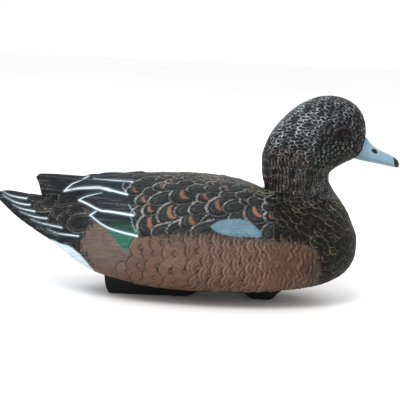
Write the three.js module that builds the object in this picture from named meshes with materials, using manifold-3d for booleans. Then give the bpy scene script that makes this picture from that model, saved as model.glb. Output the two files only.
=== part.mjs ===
// Floating duck decoy (wigeon drake): a hollow moulded body closed by a belly plate, a hollow head
// that turns on a round neck socket, and a ballasted keel screwed underneath.
// Millimetres, +Z up, +X towards the bill. The origin is under the middle of the box, on the ground.

import * as THREE from 'three';
import { ParametricGeometry } from 'three/addons/geometries/ParametricGeometry.js';
import { mergeVertices } from 'three/addons/utils/BufferGeometryUtils.js';
import Module from 'manifold-3d';

const wasm = await Module();
wasm.setup();

// ---------------------------------------------------------------- driving dimensions

const WALL = 3; // skin of the body and the head
const GAP = 0.3; // between pieces that meet

// Body profiles along X: [x, value].
const BACK_HEIGHT = [
  [-200, 94], [-196, 98], [-188, 98.8], [-175, 97.2], [-157, 94.7], [-140, 98], [-120, 105.5],
  [-100, 112], [-80, 117.5], [-60, 120.5], [-30, 122.5], [-5, 123.4], [15, 122.6], [35, 120.3],
  [55, 115.2], [69, 110], [85, 107], [100, 104], [122, 98.5], [138, 91.5], [149, 84.5], [157, 76.5],
  [161.2, 68], [162, 60],
];
const BELLY_HEIGHT = [
  [-200, 90], [-196, 87], [-178, 73.5], [-165, 65.5], [-152, 57.5], [-139, 49.4], [-130, 42],
  [-121, 35.2], [-112, 29], [-103, 24], [-87, 19], [-72, 15.8], [-57, 13.2], [-42, 11.2],
  [-20, 9.5], [0, 8.8], [20, 8.8], [48, 9.4], [73, 10.6], [85, 11.8], [100, 13.3], [116, 16],
  [135, 21.8], [148, 29], [155, 36], [160, 45.5], [162, 60],
];
const WIDEST_HEIGHT = [
  [-200, 92], [-195, 88.5], [-178, 75], [-165, 67.7], [-152, 61.5], [-139, 56.5], [-121, 52.5],
  [-90, 51], [0, 51], [100, 54], [140, 58], [162, 60],
];
const BODY_HALF_WIDTH = [
  [-200, 3.5], [-196, 8], [-185, 15], [-165, 25], [-145, 33], [-120, 44], [-90, 57], [-55, 69],
  [-20, 76], [15, 79], [50, 78], [80, 73], [105, 65], [125, 55], [140, 44.5], [150, 34], [157, 23],
  [160.5, 13], [162, 0],
];
const TAIL_TIP_X = -200;
const BREAST_X = 162;
const BACK_ROUNDNESS = 2.15; // superellipse powers of a body section
const BELLY_ROUNDNESS = 2.75;

// Neck and head profiles along Z: [z, value].
const FACE_X = [
  [60, 128], [70, 139], [80, 146.5], [88, 148.5], [95, 146.8], [101, 143.5], [108, 138.5],
  [115, 134], [122, 130.6], [128, 130.4], [134, 135.4], [140.5, 145.6], [145.5, 155.2],
  [149, 160], [155, 163.4], [163, 164.4], [170, 164.7], [177, 164.2], [185.5, 162], [195, 156],
  [201.5, 147.2], [205, 137.5], [206, 128],
];
const NAPE_X = [
  [60, 92], [85, 78], [100, 71], [111, 68], [127, 64], [143, 63.2], [154, 65.8], [169.5, 72.8],
  [182, 82.6], [194.4, 96], [202, 110], [205, 119.4], [206, 128],
];
const HEAD_HALF_WIDTH = [
  [60, 36], [76, 38], [90, 35.5], [101, 31], [110, 28.2], [120, 25.6], [129, 25], [140, 26.6],
  [150, 28], [160, 28.6], [170, 28.4], [180, 27], [188, 24.4], [194, 21], [199, 16.6], [203, 11],
  [205.3, 5.2], [206, 0],
];
const CROWN_Z = 206;
const HEAD_ROUNDNESS = 2.2;

// How far the neck flows into the body: a large fillet at the breast, a crisp corner at the back.
const FLARE_AT_BACK = 1;
const FLARE_AT_BREAST = 22;

// Bill profiles along X: [x, value].
const BILL_TOP = [
  [150, 168], [166, 166], [169, 162], [173, 158.4], [178, 155.3], [184, 152.5], [190, 150],
  [195, 147.4], [198, 144.8], [200, 140.5],
];
const BILL_BOTTOM = [
  [150, 146], [157, 144], [173, 141.2], [185, 139.3], [195, 137.6], [198.5, 137.4], [200, 140.5],
];
const BILL_HALF_WIDTH = [
  [150, 9], [158, 10.2], [166, 9.8], [175, 9.2], [185, 9.8], [192, 9.6], [196, 8], [199, 4.4], [200, 0],
];

// Folded primaries, the raised wing tips over the tail, one blade to each side: [x, value].
const TIP_TOP = [
  [-161.5, 113.4], [-160, 115.4], [-156, 116.3], [-146, 116.2], [-112, 114.8], [-92, 117],
  [-78, 117.4], [-62, 114], [-50, 106], [-45, 100],
];
const TIP_BOTTOM = [[-161.5, 113.4], [-157.5, 107], [-154.7, 101], [-151, 95], [-140, 91], [-45, 88]];
const TIP_OFFSET = [
  [-161.5, 6.5], [-146, 9], [-112, 13], [-90, 14.5], [-45, 17],
];
const TIP_HALF_WIDTH = [
  [-161.5, 0], [-160.5, 2.4], [-157, 5.4], [-146, 9], [-112, 13.5], [-90, 15], [-70, 14], [-50, 8],
  [-45, 0],
];

// Head joint. The neck is cut by a seam that leans forward; heights are measured from that seam,
// along the swivel's own line.
const SEAM_Z = 107.7; // where the swivel's line crosses the seam
const SWIVEL_X = 103;
const SEAM_TILT = THREE.MathUtils.degToRad(5.4);
const NAPE_CORNER = -35.3; // the seam's rear end, from the swivel's line
const SPIGOT_R = 20;
const SOCKET_R = 20.4;
const SOCKET_DEPTH = 10.2;
const SOCKET_FLOOR = 3.5;
const HUB_HIGH = 14;
const BOLT_R = 3;
const BOLT_HOLE_R = 3.4;
const BOLT_HEAD = { r: 5.8, high: 4 };
const BOLT_TOP = 6.5;
const INSERT = { r: 5, low: -8.8, high: 8 };
const SEAL = { centre: -5, ring: 18.8, r: 1.4, grooveR: 1.8 };
const FLAT_WASHER = { r: 8, thick: 1.5 };
const WAVE_WASHER = { inner: 3.6, outer: 6.4, thick: 0.6, wave: 0.5 };
const EYE = { x: 141, z: 170, r: 5.2, proud: 1.1 };

// Keel: side outline [x, z], from the rear end to the front, and what it holds.
const KEEL_SIDE = [
  [-90, 32], [-88.6, 13], [-87.6, 7.4], [-85.2, 1.6], [-83, 0], [-6, 0], [-2, 1.4], [2.5, 4.4],
  [7, 5.4], [49, 5.4], [53.5, 4.4], [57.6, 1], [60.4, 0], [77.2, 0], [80.8, 1.2], [84.7, 6.7],
  [92, 12], [98, 32],
];
const KEEL_HALF_WIDTH = 12;
const KEEL_FLOOR = 2.5;
const KEEL_POCKETS = { rear: [-72, -10], front: [61, 72] };
const POCKET_HALF_WIDTH = 9;
const BALLAST_TOP_Z = { rear: 8, front: 9 };
const KEEL_SCREWS = { x: [-50, 66], y: 17, r: 1.7, headR: 3.2, headRim: 0.4, recess: 0.2, long: 10 };
const EAR = { half: 7, out: 23, thick: 3 };

// Belly plate: the superelliptic opening in the underside that it closes.
const PLATE = { x: 12, halfLong: 90, halfWide: 36, roundness: 2.6 };

// ---------------------------------------------------------------- curves

// A smooth curve through [t, value] points that never overshoots them (monotone cubic).
function curve(points) {
  const t = points.map((p) => p[0]);
  const v = points.map((p) => p[1]);
  const last = t.length - 1;
  const slope = t.slice(1).map((x, i) => (v[i + 1] - v[i]) / (x - t[i]));
  const tangent = t.map((_, i) => {
    if (i === 0) return slope[0];
    if (i === last) return slope[last - 1];
    if (slope[i - 1] * slope[i] <= 0) return 0;
    return (2 * slope[i - 1] * slope[i]) / (slope[i - 1] + slope[i]);
  });
  return (x) => {
    if (x <= t[0]) return v[0];
    if (x >= t[last]) return v[last];
    let i = 0;
    while (t[i + 1] < x) i++;
    const h = t[i + 1] - t[i];
    const s = (x - t[i]) / h;
    const s2 = s * s;
    const s3 = s2 * s;
    return (2 * s3 - 3 * s2 + 1) * v[i] + (s3 - 2 * s2 + s) * h * tangent[i]
      + (3 * s2 - 2 * s3) * v[i + 1] + (s3 - s2) * h * tangent[i + 1];
  };
}

const back = curve(BACK_HEIGHT);
const belly = curve(BELLY_HEIGHT);
const widest = curve(WIDEST_HEIGHT);
const bodyHalf = curve(BODY_HALF_WIDTH);
const face = curve(FACE_X);
const nape = curve(NAPE_X);
const headHalf = curve(HEAD_HALF_WIDTH);

// Signed distance, along the ray from its centre, to a superellipse of half axes a and b.
function beyond(p, q, a, b, power) {
  const share = (v, half) => Math.abs(v / Math.max(half, 0.01)) ** power;
  const norm = (share(p, a) + share(q, b)) ** (1 / power);
  return norm < 1e-6 ? -Math.min(a, b) : Math.hypot(p, q) * (1 - 1 / norm);
}

function bodyField(x, y, z) {
  const q = z - widest(x);
  const high = q > 0;
  const b = high ? back(x) - widest(x) : widest(x) - belly(x);
  return beyond(y, q, bodyHalf(x), b, high ? BACK_ROUNDNESS : BELLY_ROUNDNESS);
}

function headField(x, y, z) {
  const middle = (face(z) + nape(z)) / 2;
  return beyond(x - middle, y, (face(z) - nape(z)) / 2, headHalf(z), HEAD_ROUNDNESS);
}

// The fillet that joins two fields, where they are within k of each other.
function fillet(a, b, x) {
  const share = THREE.MathUtils.smoothstep(x, 72, 125); // from the nape to the breast
  const k = THREE.MathUtils.lerp(FLARE_AT_BACK, FLARE_AT_BREAST, share);
  return Math.max(k - Math.abs(a - b), 0) ** 2 / (4 * k);
}

const seamHeight = (x) => SEAM_Z - (x - SWIVEL_X) * Math.tan(SEAM_TILT);

// Body with the root of the neck, a little taller than the seam that will cut it.
function trunkField(x, y, z) {
  const a = bodyField(x, y, z);
  const b = headField(x, y, Math.max(z, 60)) + Math.max(60 - z, 0);
  return Math.min(a, Math.max(Math.min(a, b) - fillet(a, b, x), z - seamHeight(x) - 3));
}

function neckField(x, y, z) {
  const b = headField(x, y, z);
  return b - fillet(bodyField(x, y, z), b, x);
}

// The distance along a ray at which a field reaches a level.
function reach(field, level, far) {
  let near = 0;
  for (let i = 0; i < 22; i++) {
    const mid = (near + far) / 2;
    if (field(mid) < level) near = mid;
    else far = mid;
  }
  return near;
}

// ---------------------------------------------------------------- solids

// A closed three.js geometry as a manifold solid.
function solid(geometry) {
  const bare = geometry.clone();
  bare.deleteAttribute('normal');
  bare.deleteAttribute('uv');
  const merged = mergeVertices(bare, 1e-4);
  const index = merged.index.array;
  const kept = [];
  for (let i = 0; i < index.length; i += 3) {
    const [a, b, c] = [index[i], index[i + 1], index[i + 2]];
    if (a !== b && b !== c && a !== c) kept.push(a, b, c);
  }
  const mesh = new wasm.Mesh({
    numProp: 3,
    vertProperties: merged.attributes.position.array,
    triVerts: new Uint32Array(kept),
  });
  const made = new wasm.Manifold(mesh);
  if (made.volume() > 0) return made;
  for (let i = 0; i < kept.length; i += 3) [kept[i + 1], kept[i + 2]] = [kept[i + 2], kept[i + 1]];
  mesh.triVerts = new Uint32Array(kept);
  return new wasm.Manifold(mesh);
}

// A surface of rings: ring(u, angle, target) places the point at share u along it.
function rings(ring, along, around) {
  const place = (turn, u, target) => ring(u, (turn % 1) * 2 * Math.PI, target);
  return solid(new ParametricGeometry(place, around, along));
}

// Rings bunch towards both ends, where the surface closes.
const bunched = (u) => (1 - Math.cos(Math.PI * u)) / 2;

function trunk(level, along, around) {
  const low = TAIL_TIP_X - level;
  const high = BREAST_X + level - 0.02;
  return rings((u, angle, target) => {
    const x = low + (high - low) * THREE.MathUtils.lerp(u, bunched(u), 0.75);
    const inside = THREE.MathUtils.clamp(x, TAIL_TIP_X, BREAST_X - 0.02);
    const middle = widest(inside);
    const [c, s] = [Math.cos(angle), Math.sin(angle)];
    const field = (r) => trunkField(inside, r * c, middle + r * s);
    const ends = u <= 0 || u >= 1;
    const r = ends ? 0 : reach(field, level, 120);
    target.set(x, r * c, middle + r * s);
  }, along, around);
}

// The hollow inside the trunk, clear of the tail, the breast's tip and the seam.
function trunkHollow(inset, along, around) {
  const [low, high] = [-118 + inset, BREAST_X - inset];
  return rings((u, angle, target) => {
    const x = low + (high - low) * bunched(u);
    const cap = Math.sqrt(Math.max(0, 1 - (2 * u - 1) ** 8));
    const [c, s] = [Math.cos(angle), Math.sin(angle)];
    const wide = Math.max(bodyHalf(x) - inset, 1);
    const tall = Math.max(s > 0 ? back(x) - widest(x) - inset : widest(x) - belly(x) - inset, 1);
    const power = s > 0 ? BACK_ROUNDNESS : BELLY_ROUNDNESS;
    const r = cap / ((Math.abs(c) / wide) ** power + (Math.abs(s) / tall) ** power) ** (1 / power);
    target.set(x, r * c, widest(x) + r * s);
  }, along, around);
}

// Neck and head, as level slices from a floor height up to the crown.
function headStack(inset, floor, along, around) {
  const top = CROWN_Z - inset;
  return rings((u, angle, target) => {
    const z = floor + (top - floor) * (1 - (1 - u) ** 1.8);
    const at = Math.min(z + inset * THREE.MathUtils.smoothstep(z, 170, top), CROWN_Z - 0.02);
    const middle = (face(at) + nape(at)) / 2;
    const [c, s] = [Math.cos(angle), Math.sin(angle)];
    const field = (r) => neckField(middle + r * c, r * s, at);
    const r = u <= 0 || u >= 1 ? 0 : Math.max(reach(field, -inset, 75), 0.5);
    target.set(middle + r * c, r * s, z);
  }, along, around);
}

function billSolid(along, around) {
  const [top, bottom, half] = [curve(BILL_TOP), curve(BILL_BOTTOM), curve(BILL_HALF_WIDTH)];
  return rings((u, angle, target) => {
    const x = 150 + 50 * (1 - (1 - u) ** 1.5);
    const middle = bottom(x) + (top(x) - bottom(x)) * 0.42;
    const [c, s] = [Math.cos(angle), Math.sin(angle)];
    const b = s > 0 ? top(x) - middle : middle - bottom(x);
    const r = u <= 0 || u >= 1 ? 0 : 1;
    target.set(x, r * half(x) * c, middle + r * b * s);
  }, along, around);
}

function wingTip(side, along, around) {
  const [top, bottom] = [curve(TIP_TOP), curve(TIP_BOTTOM)];
  const [offset, half] = [curve(TIP_OFFSET), curve(TIP_HALF_WIDTH)];
  return rings((u, angle, target) => {
    const x = THREE.MathUtils.lerp(TIP_TOP[0][0], TIP_TOP.at(-1)[0], (u + bunched(u)) / 2);
    const [c, s] = [Math.cos(angle), Math.sin(angle)];
    const r = u <= 0 || u >= 1 ? 0 : 1 / (Math.abs(c) ** 2.4 + Math.abs(s) ** 2.4) ** (1 / 2.4);
    const middle = (top(x) + bottom(x)) / 2;
    const tall = (top(x) - bottom(x)) / 2;
    target.set(x, side * offset(x) + r * half(x) * c, middle + r * tall * s);
  }, along, around);
}

function cylinder(r, low, high, x, y, sides = 32) {
  const geometry = new THREE.CylinderGeometry(r, r, high - low, sides);
  geometry.rotateX(Math.PI / 2).translate(x, y, (low + high) / 2);
  return solid(geometry);
}

function box(x0, x1, halfWide, z0, z1) {
  const geometry = new THREE.BoxGeometry(x1 - x0, 2 * halfWide, z1 - z0);
  return solid(geometry.translate((x0 + x1) / 2, 0, (z0 + z1) / 2));
}

// Geometry made around the origin, moved to the swivel's line with the seam as its ground.
const onSwivel = (geometry) => solid(geometry.rotateY(SEAM_TILT).translate(SWIVEL_X, 0, SEAM_Z));

function swivelCylinder(r, low, high, sides = 28) {
  const geometry = new THREE.CylinderGeometry(r, r, high - low, sides);
  return onSwivel(geometry.rotateX(Math.PI / 2).translate(0, 0, (low + high) / 2));
}

// Everything above the seam plus a gap, from x0 forward.
function aboveSeam(gap, x0, high) {
  const [long, wide] = [200, 200];
  const geometry = new THREE.BoxGeometry(long, wide, high - gap);
  return onSwivel(geometry.translate(x0 + long / 2, 0, (high + gap) / 2));
}

function extrude(outline, depth) {
  const shape = new THREE.Shape(outline.map(([a, b]) => new THREE.Vector2(a, b)));
  return new THREE.ExtrudeGeometry(shape, { depth, bevelEnabled: false });
}

// An outline of [x, z] points, extruded evenly to both sides of the middle plane.
function sidePlate(outline, halfWide) {
  return solid(extrude(outline, 2 * halfWide).translate(0, 0, -halfWide).rotateX(Math.PI / 2));
}

function planPlate(outline, z0, z1) {
  return solid(extrude(outline, z1 - z0).translate(0, 0, z0));
}

// The plate's plan outline, moved in by inset.
function plateOutline(inset, steps = 40) {
  const power = 2 / PLATE.roundness;
  return Array.from({ length: steps }, (_, i) => {
    const a = (2 * Math.PI * i) / steps;
    const [c, s] = [Math.cos(a), Math.sin(a)];
    return [
      PLATE.x + (PLATE.halfLong - inset) * Math.sign(c) * Math.abs(c) ** power,
      (PLATE.halfWide - inset) * Math.sign(s) * Math.abs(s) ** power,
    ];
  });
}

// ---------------------------------------------------------------- pieces

const group = new THREE.Group();

function add(name, body, color, roughness, metalness = 0) {
  const mesh = body.getMesh();
  const geometry = new THREE.BufferGeometry();
  geometry.setAttribute('position', new THREE.BufferAttribute(mesh.vertProperties, 3));
  geometry.setIndex(new THREE.BufferAttribute(mesh.triVerts, 1));
  const piece = new THREE.Mesh(geometry, new THREE.MeshStandardMaterial({ color, roughness, metalness }));
  piece.name = name;
  group.add(piece);
}

const TRUNK_RINGS = [52, 32];
const HOLLOW_RINGS = [24, 20];
const bodyOuter = trunk(0, ...TRUNK_RINGS);
const hollow = trunkHollow(WALL, ...HOLLOW_RINGS);

// Body shell: hollow skin with the wing tips, the neck socket and the opening for the belly plate.
function bodyShell() {
  const cup = swivelCylinder(SOCKET_R + 4, -SOCKET_DEPTH - SOCKET_FLOOR, -3);
  const prism = (inset) => planPlate(plateOutline(inset), 0, 34);
  const ledge = prism(-3).subtract(prism(6)).subtract(trunkHollow(2 * WALL, ...HOLLOW_RINGS));
  return bodyOuter
    .add(wingTip(-1, 16, 16))
    .add(wingTip(1, 16, 16))
    .subtract(hollow.subtract(ledge).add(prism(6)))
    .subtract(prism(0).subtract(hollow))
    .add(cup)
    .subtract(aboveSeam(0, NAPE_CORNER, 30))
    .subtract(swivelCylinder(SOCKET_R, -SOCKET_DEPTH, 5))
    .subtract(swivelCylinder(BOLT_HOLE_R, -30, 0, 20));
}

const screwPlaces = KEEL_SCREWS.x.flatMap((x) => [[x, -KEEL_SCREWS.y], [x, KEEL_SCREWS.y]]);

// The height of the belly's skin beside the middle plane.
function bellyAt(x, y) {
  const share = (1 - Math.abs(y / bodyHalf(x)) ** BELLY_ROUNDNESS) ** (1 / BELLY_ROUNDNESS);
  return widest(x) - (widest(x) - belly(x)) * share;
}

// Belly plate: the part of the skin inside the opening, with bosses for the keel's screws.
function bellyPlate() {
  let plate = bodyOuter
    .subtract(trunkHollow(WALL - GAP, ...HOLLOW_RINGS))
    .intersect(planPlate(plateOutline(GAP), 0, 34));
  for (const [x, y] of screwPlaces) {
    const skin = bellyAt(x, y);
    plate = plate
      .add(cylinder(4.6, skin + 1.2, skin + KEEL_SCREWS.long + 3, x, y, 20))
      .subtract(cylinder(KEEL_SCREWS.r + GAP, skin - 3, skin + KEEL_SCREWS.long, x, y, 16));
  }
  return plate;
}

const neckHollow = headStack(WALL, SEAM_Z - 20, 18, 20);

function eyeBall(side, r) {
  const skin = reach((y) => headField(EYE.x, y, EYE.z), 0, 60);
  const geometry = new THREE.SphereGeometry(r, 16, 12);
  return solid(geometry.translate(EYE.x, side * (skin + EYE.proud - EYE.r), EYE.z));
}

function headShell() {
  let head = headStack(0, SEAM_Z - 16, 32, 32)
    .add(billSolid(14, 18))
    .intersect(aboveSeam(GAP, -80, 120))
    .subtract(neckHollow);
  for (const side of [-1, 1]) head = head.subtract(eyeBall(side, EYE.r + GAP));
  return head;
}

// Neck hub: an oval plug in the neck with the round spigot that turns in the socket.
function neckHub() {
  const plug = headStack(WALL + GAP, SEAM_Z - 20, 18, 20)
    .intersect(aboveSeam(GAP, -80, HUB_HIGH));
  const groove = new THREE.TorusGeometry(SPIGOT_R - 1, SEAL.grooveR, 10, 28);
  return plug
    .add(swivelCylinder(SPIGOT_R, 0.6 - SOCKET_DEPTH, 2))
    .subtract(onSwivel(groove.translate(0, 0, SEAL.centre)))
    .subtract(swivelCylinder(INSERT.r + GAP, -30, INSERT.high + GAP, 20));
}

function sealRing() {
  return onSwivel(new THREE.TorusGeometry(SEAL.ring, SEAL.r, 8, 28).translate(0, 0, SEAL.centre));
}

function threadedInsert() {
  return swivelCylinder(INSERT.r, INSERT.low, INSERT.high, 20)
    .subtract(swivelCylinder(BOLT_R + GAP, -30, 30, 20));
}

const underSocket = -SOCKET_DEPTH - SOCKET_FLOOR - GAP;
const underWasher = underSocket - FLAT_WASHER.thick - GAP;
const underWave = underWasher - WAVE_WASHER.thick - 2 * WAVE_WASHER.wave - GAP;

function flatWasher() {
  return swivelCylinder(FLAT_WASHER.r, underSocket - FLAT_WASHER.thick, underSocket, 24)
    .subtract(swivelCylinder(BOLT_HOLE_R, -40, 0, 20));
}

// Wave washer: a ring whose height rises and falls three times around.
function waveWasher() {
  const { inner, outer, thick, wave } = WAVE_WASHER;
  const section = [[inner, 0], [outer, 0], [outer, thick], [inner, thick]];
  const place = (u, v, target) => {
    const angle = (v % 1) * 2 * Math.PI;
    const [r, rise] = section[Math.round(u * 4) % 4];
    const middle = underWasher - thick - wave;
    target.set(r * Math.cos(angle), r * Math.sin(angle), middle + rise + wave * Math.cos(3 * angle));
  };
  return onSwivel(new ParametricGeometry(place, 4, 30));
}

function headBolt() {
  const { r, high } = BOLT_HEAD;
  const hex = new THREE.CylinderGeometry(r, r, high, 6).rotateX(Math.PI / 2);
  return onSwivel(hex.translate(0, 0, underWave - high / 2))
    .add(swivelCylinder(BOLT_R, underWave - 1, BOLT_TOP, 20));
}

// Keel: a trough for the ballast bars, held up by four screwed ears.
function keel() {
  const clear = trunk(GAP, ...TRUNK_RINGS);
  const skirt = trunk(EAR.thick + GAP, ...TRUNK_RINGS);
  let made = sidePlate(KEEL_SIDE, KEEL_HALF_WIDTH);
  for (const x of KEEL_SCREWS.x) {
    const bar = box(x - EAR.half, x + EAR.half, EAR.out, 2, 34);
    made = made.add(bar.intersect(skirt));
  }
  made = made.subtract(clear);
  for (const [low, high] of Object.values(KEEL_POCKETS)) {
    made = made.subtract(box(low, high, POCKET_HALF_WIDTH, KEEL_FLOOR, 40));
  }
  for (const [x, y] of screwPlaces) {
    made = made
      .subtract(cylinder(KEEL_SCREWS.r + GAP, 0, 40, x, y, 16))
      .subtract(screwHead(x, y, GAP, 4));
  }
  return made;
}

function ballast(end) {
  const [low, high] = KEEL_POCKETS[end];
  return box(low + GAP, high - GAP, POCKET_HALF_WIDTH - GAP, KEEL_FLOOR + GAP, BALLAST_TOP_Z[end]);
}

// The underside of the keel's ear at a screw, where its head sits flush.
function earUnder(x, y) {
  return bellyAt(x, y) - GAP - EAR.thick + KEEL_SCREWS.recess;
}

// A countersunk head, wider all round by a gap and drawn out below.
function screwHead(x, y, gap, below) {
  const { r, headR, headRim } = KEEL_SCREWS;
  const neck = headRim + headR - r;
  const head = new THREE.LatheGeometry([
    [0, -below], [headR + gap, -below], [headR + gap, headRim], [r + gap, neck], [0, neck],
  ].map(([radius, h]) => new THREE.Vector2(radius, h)), 20);
  return solid(head.rotateX(Math.PI / 2).translate(x, y, earUnder(x, y)));
}

function keelScrew(x, y) {
  const under = earUnder(x, y);
  return screwHead(x, y, 0, 0)
    .add(cylinder(KEEL_SCREWS.r, under + KEEL_SCREWS.headRim, under + KEEL_SCREWS.long + 1, x, y, 16));
}

add('body_shell', bodyShell(), 0x4a4038, 0.7);
add('belly_plate', bellyPlate(), 0x6b5448, 0.7);
add('head_shell', headShell(), 0x2b2c2b, 0.7);
add('eye_right', eyeBall(-1, EYE.r), 0x0c0a09, 0.15);
add('eye_left', eyeBall(1, EYE.r), 0x0c0a09, 0.15);
add('neck_hub', neckHub(), 0x2a2a2a, 0.6);
add('neck_seal_ring', sealRing(), 0x111111, 0.8);
add('threaded_insert', threadedInsert(), 0xb08d57, 0.35, 1);
add('flat_washer', flatWasher(), 0xb8babb, 0.3, 1);
add('wave_washer', waveWasher(), 0xb8babb, 0.3, 1);
add('head_bolt', headBolt(), 0xb8babb, 0.3, 1);
add('keel', keel(), 0x121415, 0.6);
add('rear_ballast', ballast('rear'), 0x3a3a3c, 0.7, 1);
add('front_ballast', ballast('front'), 0x3a3a3c, 0.7, 1);
screwPlaces.forEach(([x, y], i) => add(`keel_screw_${i + 1}`, keelScrew(x, y), 0x16181a, 0.5, 1));

export default group;
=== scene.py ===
"""Looks of the floating duck decoy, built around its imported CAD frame.

The body and the head are one sculpted skin: feathers are laid over a smooth surface like shingles,
from the tail to the bill, and each leaves its own relief in the mesh and its own edge, crescent and
barbs for the paint. The shape's profiles are the ones the CAD part is made from, in millimetres.
"""

import math
from functools import partial

import bmesh
import bpy
import numpy as np
from mathutils import Matrix, Vector, kdtree


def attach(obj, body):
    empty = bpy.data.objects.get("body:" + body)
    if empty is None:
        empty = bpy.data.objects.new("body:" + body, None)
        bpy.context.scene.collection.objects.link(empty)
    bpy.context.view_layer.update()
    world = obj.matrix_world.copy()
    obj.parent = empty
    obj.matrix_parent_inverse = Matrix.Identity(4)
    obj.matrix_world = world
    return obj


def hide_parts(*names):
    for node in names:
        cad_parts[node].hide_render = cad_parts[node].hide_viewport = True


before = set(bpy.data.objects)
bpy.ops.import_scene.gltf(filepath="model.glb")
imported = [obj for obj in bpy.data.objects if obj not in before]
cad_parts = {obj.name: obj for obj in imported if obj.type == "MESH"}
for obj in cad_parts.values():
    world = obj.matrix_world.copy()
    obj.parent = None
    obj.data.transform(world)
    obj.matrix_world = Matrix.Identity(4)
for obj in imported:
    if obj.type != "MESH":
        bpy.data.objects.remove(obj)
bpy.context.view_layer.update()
MM = 0.001
draw = np.random.default_rng(20)

# Edge lengths of the skins' quads, in millimetres.
BODY_VOXEL = 1.0
HEAD_VOXEL = 0.62
KEEL_VOXEL = 0.8
# The feathers' mean height, by which the skin under them is set back.
BODY_SINK = 0.8
HEAD_SINK = 0.4

# ---- profiles, as in the CAD

BACK_HEIGHT = [
    (-200, 94), (-196, 98), (-188, 98.8), (-175, 97.2), (-157, 94.7), (-140, 98), (-120, 105.5),
    (-100, 112), (-80, 117.5), (-60, 120.5), (-30, 122.5), (-5, 123.4), (15, 122.6), (35, 120.3),
    (55, 115.2), (69, 110), (85, 107), (100, 104), (122, 98.5), (138, 91.5), (149, 84.5), (157, 76.5),
    (161.2, 68), (162, 60),
]
BELLY_HEIGHT = [
    (-200, 90), (-196, 87), (-178, 73.5), (-165, 65.5), (-152, 57.5), (-139, 49.4), (-130, 42),
    (-121, 35.2), (-112, 29), (-103, 24), (-87, 19), (-72, 15.8), (-57, 13.2), (-42, 11.2),
    (-20, 9.5), (0, 8.8), (20, 8.8), (48, 9.4), (73, 10.6), (85, 11.8), (100, 13.3), (116, 16),
    (135, 21.8), (148, 29), (155, 36), (160, 45.5), (162, 60),
]
WIDEST_HEIGHT = [
    (-200, 92), (-195, 88.5), (-178, 75), (-165, 67.7), (-152, 61.5), (-139, 56.5), (-121, 52.5),
    (-90, 51), (0, 51), (100, 54), (140, 58), (162, 60),
]
BODY_HALF_WIDTH = [
    (-200, 3.5), (-196, 8), (-185, 15), (-165, 25), (-145, 33), (-120, 44), (-90, 57), (-55, 69),
    (-20, 76), (15, 79), (50, 78), (80, 73), (105, 65), (125, 55), (140, 44.5), (150, 34), (157, 23),
    (160.5, 13), (162, 0),
]
# Powers of the superelliptic sections: 2 is an ellipse, and more is squarer.
BACK_ROUNDNESS = 2.15
BELLY_ROUNDNESS = 2.75
BILL_ROUNDNESS = 2.3
WING_TIP_ROUNDNESS = 2.4
TAIL_TIP_X = -200
BREAST_X = 162
SHORT_OF_END = 0.02  # a section right at the end would have no size

FACE_X = [
    (60, 128), (70, 139), (80, 146.5), (88, 148.5), (95, 146.8), (101, 143.5), (108, 138.5),
    (115, 134), (122, 130.6), (128, 130.4), (134, 135.4), (140.5, 145.6), (145.5, 155.2),
    (149, 160), (155, 163.4), (163, 164.4), (170, 164.7), (177, 164.2), (185.5, 162), (195, 156),
    (201.5, 147.2), (205, 137.5), (206, 128),
]
NAPE_X = [
    (60, 92), (85, 78), (100, 71), (111, 68), (127, 64), (143, 63.2), (154, 65.8), (169.5, 72.8),
    (182, 82.6), (194.4, 96), (202, 110), (205, 119.4), (206, 128),
]
HEAD_HALF_WIDTH = [
    (60, 36), (76, 38), (90, 35.5), (101, 31), (110, 28.2), (120, 25.6), (129, 25), (140, 26.6),
    (150, 28), (160, 28.6), (170, 28.4), (180, 27), (188, 24.4), (194, 21), (199, 16.6), (203, 11),
    (205.3, 5.2), (206, 0),
]
HEAD_ROUNDNESS = 2.2
CROWN_Z = 206
FLARE_AT_BACK = 1
FLARE_AT_BREAST = 22

BILL_TOP = [
    (150, 168), (166, 166), (169, 162), (173, 158.4), (178, 155.3), (184, 152.5), (190, 150),
    (195, 147.4), (198, 144.8), (200, 140.5),
]
BILL_BOTTOM = [
    (150, 146), (157, 144), (173, 141.2), (185, 139.3), (195, 137.6), (198.5, 137.4), (200, 140.5),
]
BILL_HALF_WIDTH = [
    (150, 9), (158, 10.2), (166, 9.8), (175, 9.2), (185, 9.8), (192, 9.6), (196, 8), (199, 4.4), (200, 0),
]

TIP_TOP = [
    (-161.5, 113.4), (-160, 115.4), (-156, 116.3), (-146, 116.2), (-112, 114.8), (-92, 117),
    (-78, 117.4), (-62, 114), (-50, 106), (-45, 100),
]
TIP_BOTTOM = [
    (-161.5, 113.4), (-158, 107.5), (-156.2, 101.5), (-155, 96.5), (-151, 93), (-140, 91), (-45, 88),
]
TIP_OFFSET = [(-161.5, 6.5), (-146, 9), (-112, 13), (-90, 14.5), (-45, 17)]
TIP_HALF_WIDTH = [
    (-161.5, 0), (-160.5, 2.4), (-157, 5.4), (-146, 9), (-112, 13.5), (-90, 15), (-70, 14), (-50, 8),
    (-45, 0),
]

SEAM_Z = 107.7
SWIVEL_X = 103
SEAM_TILT = math.radians(5.4)
SEAM_GAP = 0.3
NAPE_X_ON_SEAM = 67.6
NECK_ROOT_Z = 92
SPIGOT_R = 20.4
SOCKET_DEPTH = 10.2
# Under the head: the rim's width, and how far in and up the flat bottom of the recess lies.
HEAD_RIM = 3.3
HEAD_RECESS_IN = 6.5
HEAD_RECESS_UP = 4.0
WALL = 3


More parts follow.
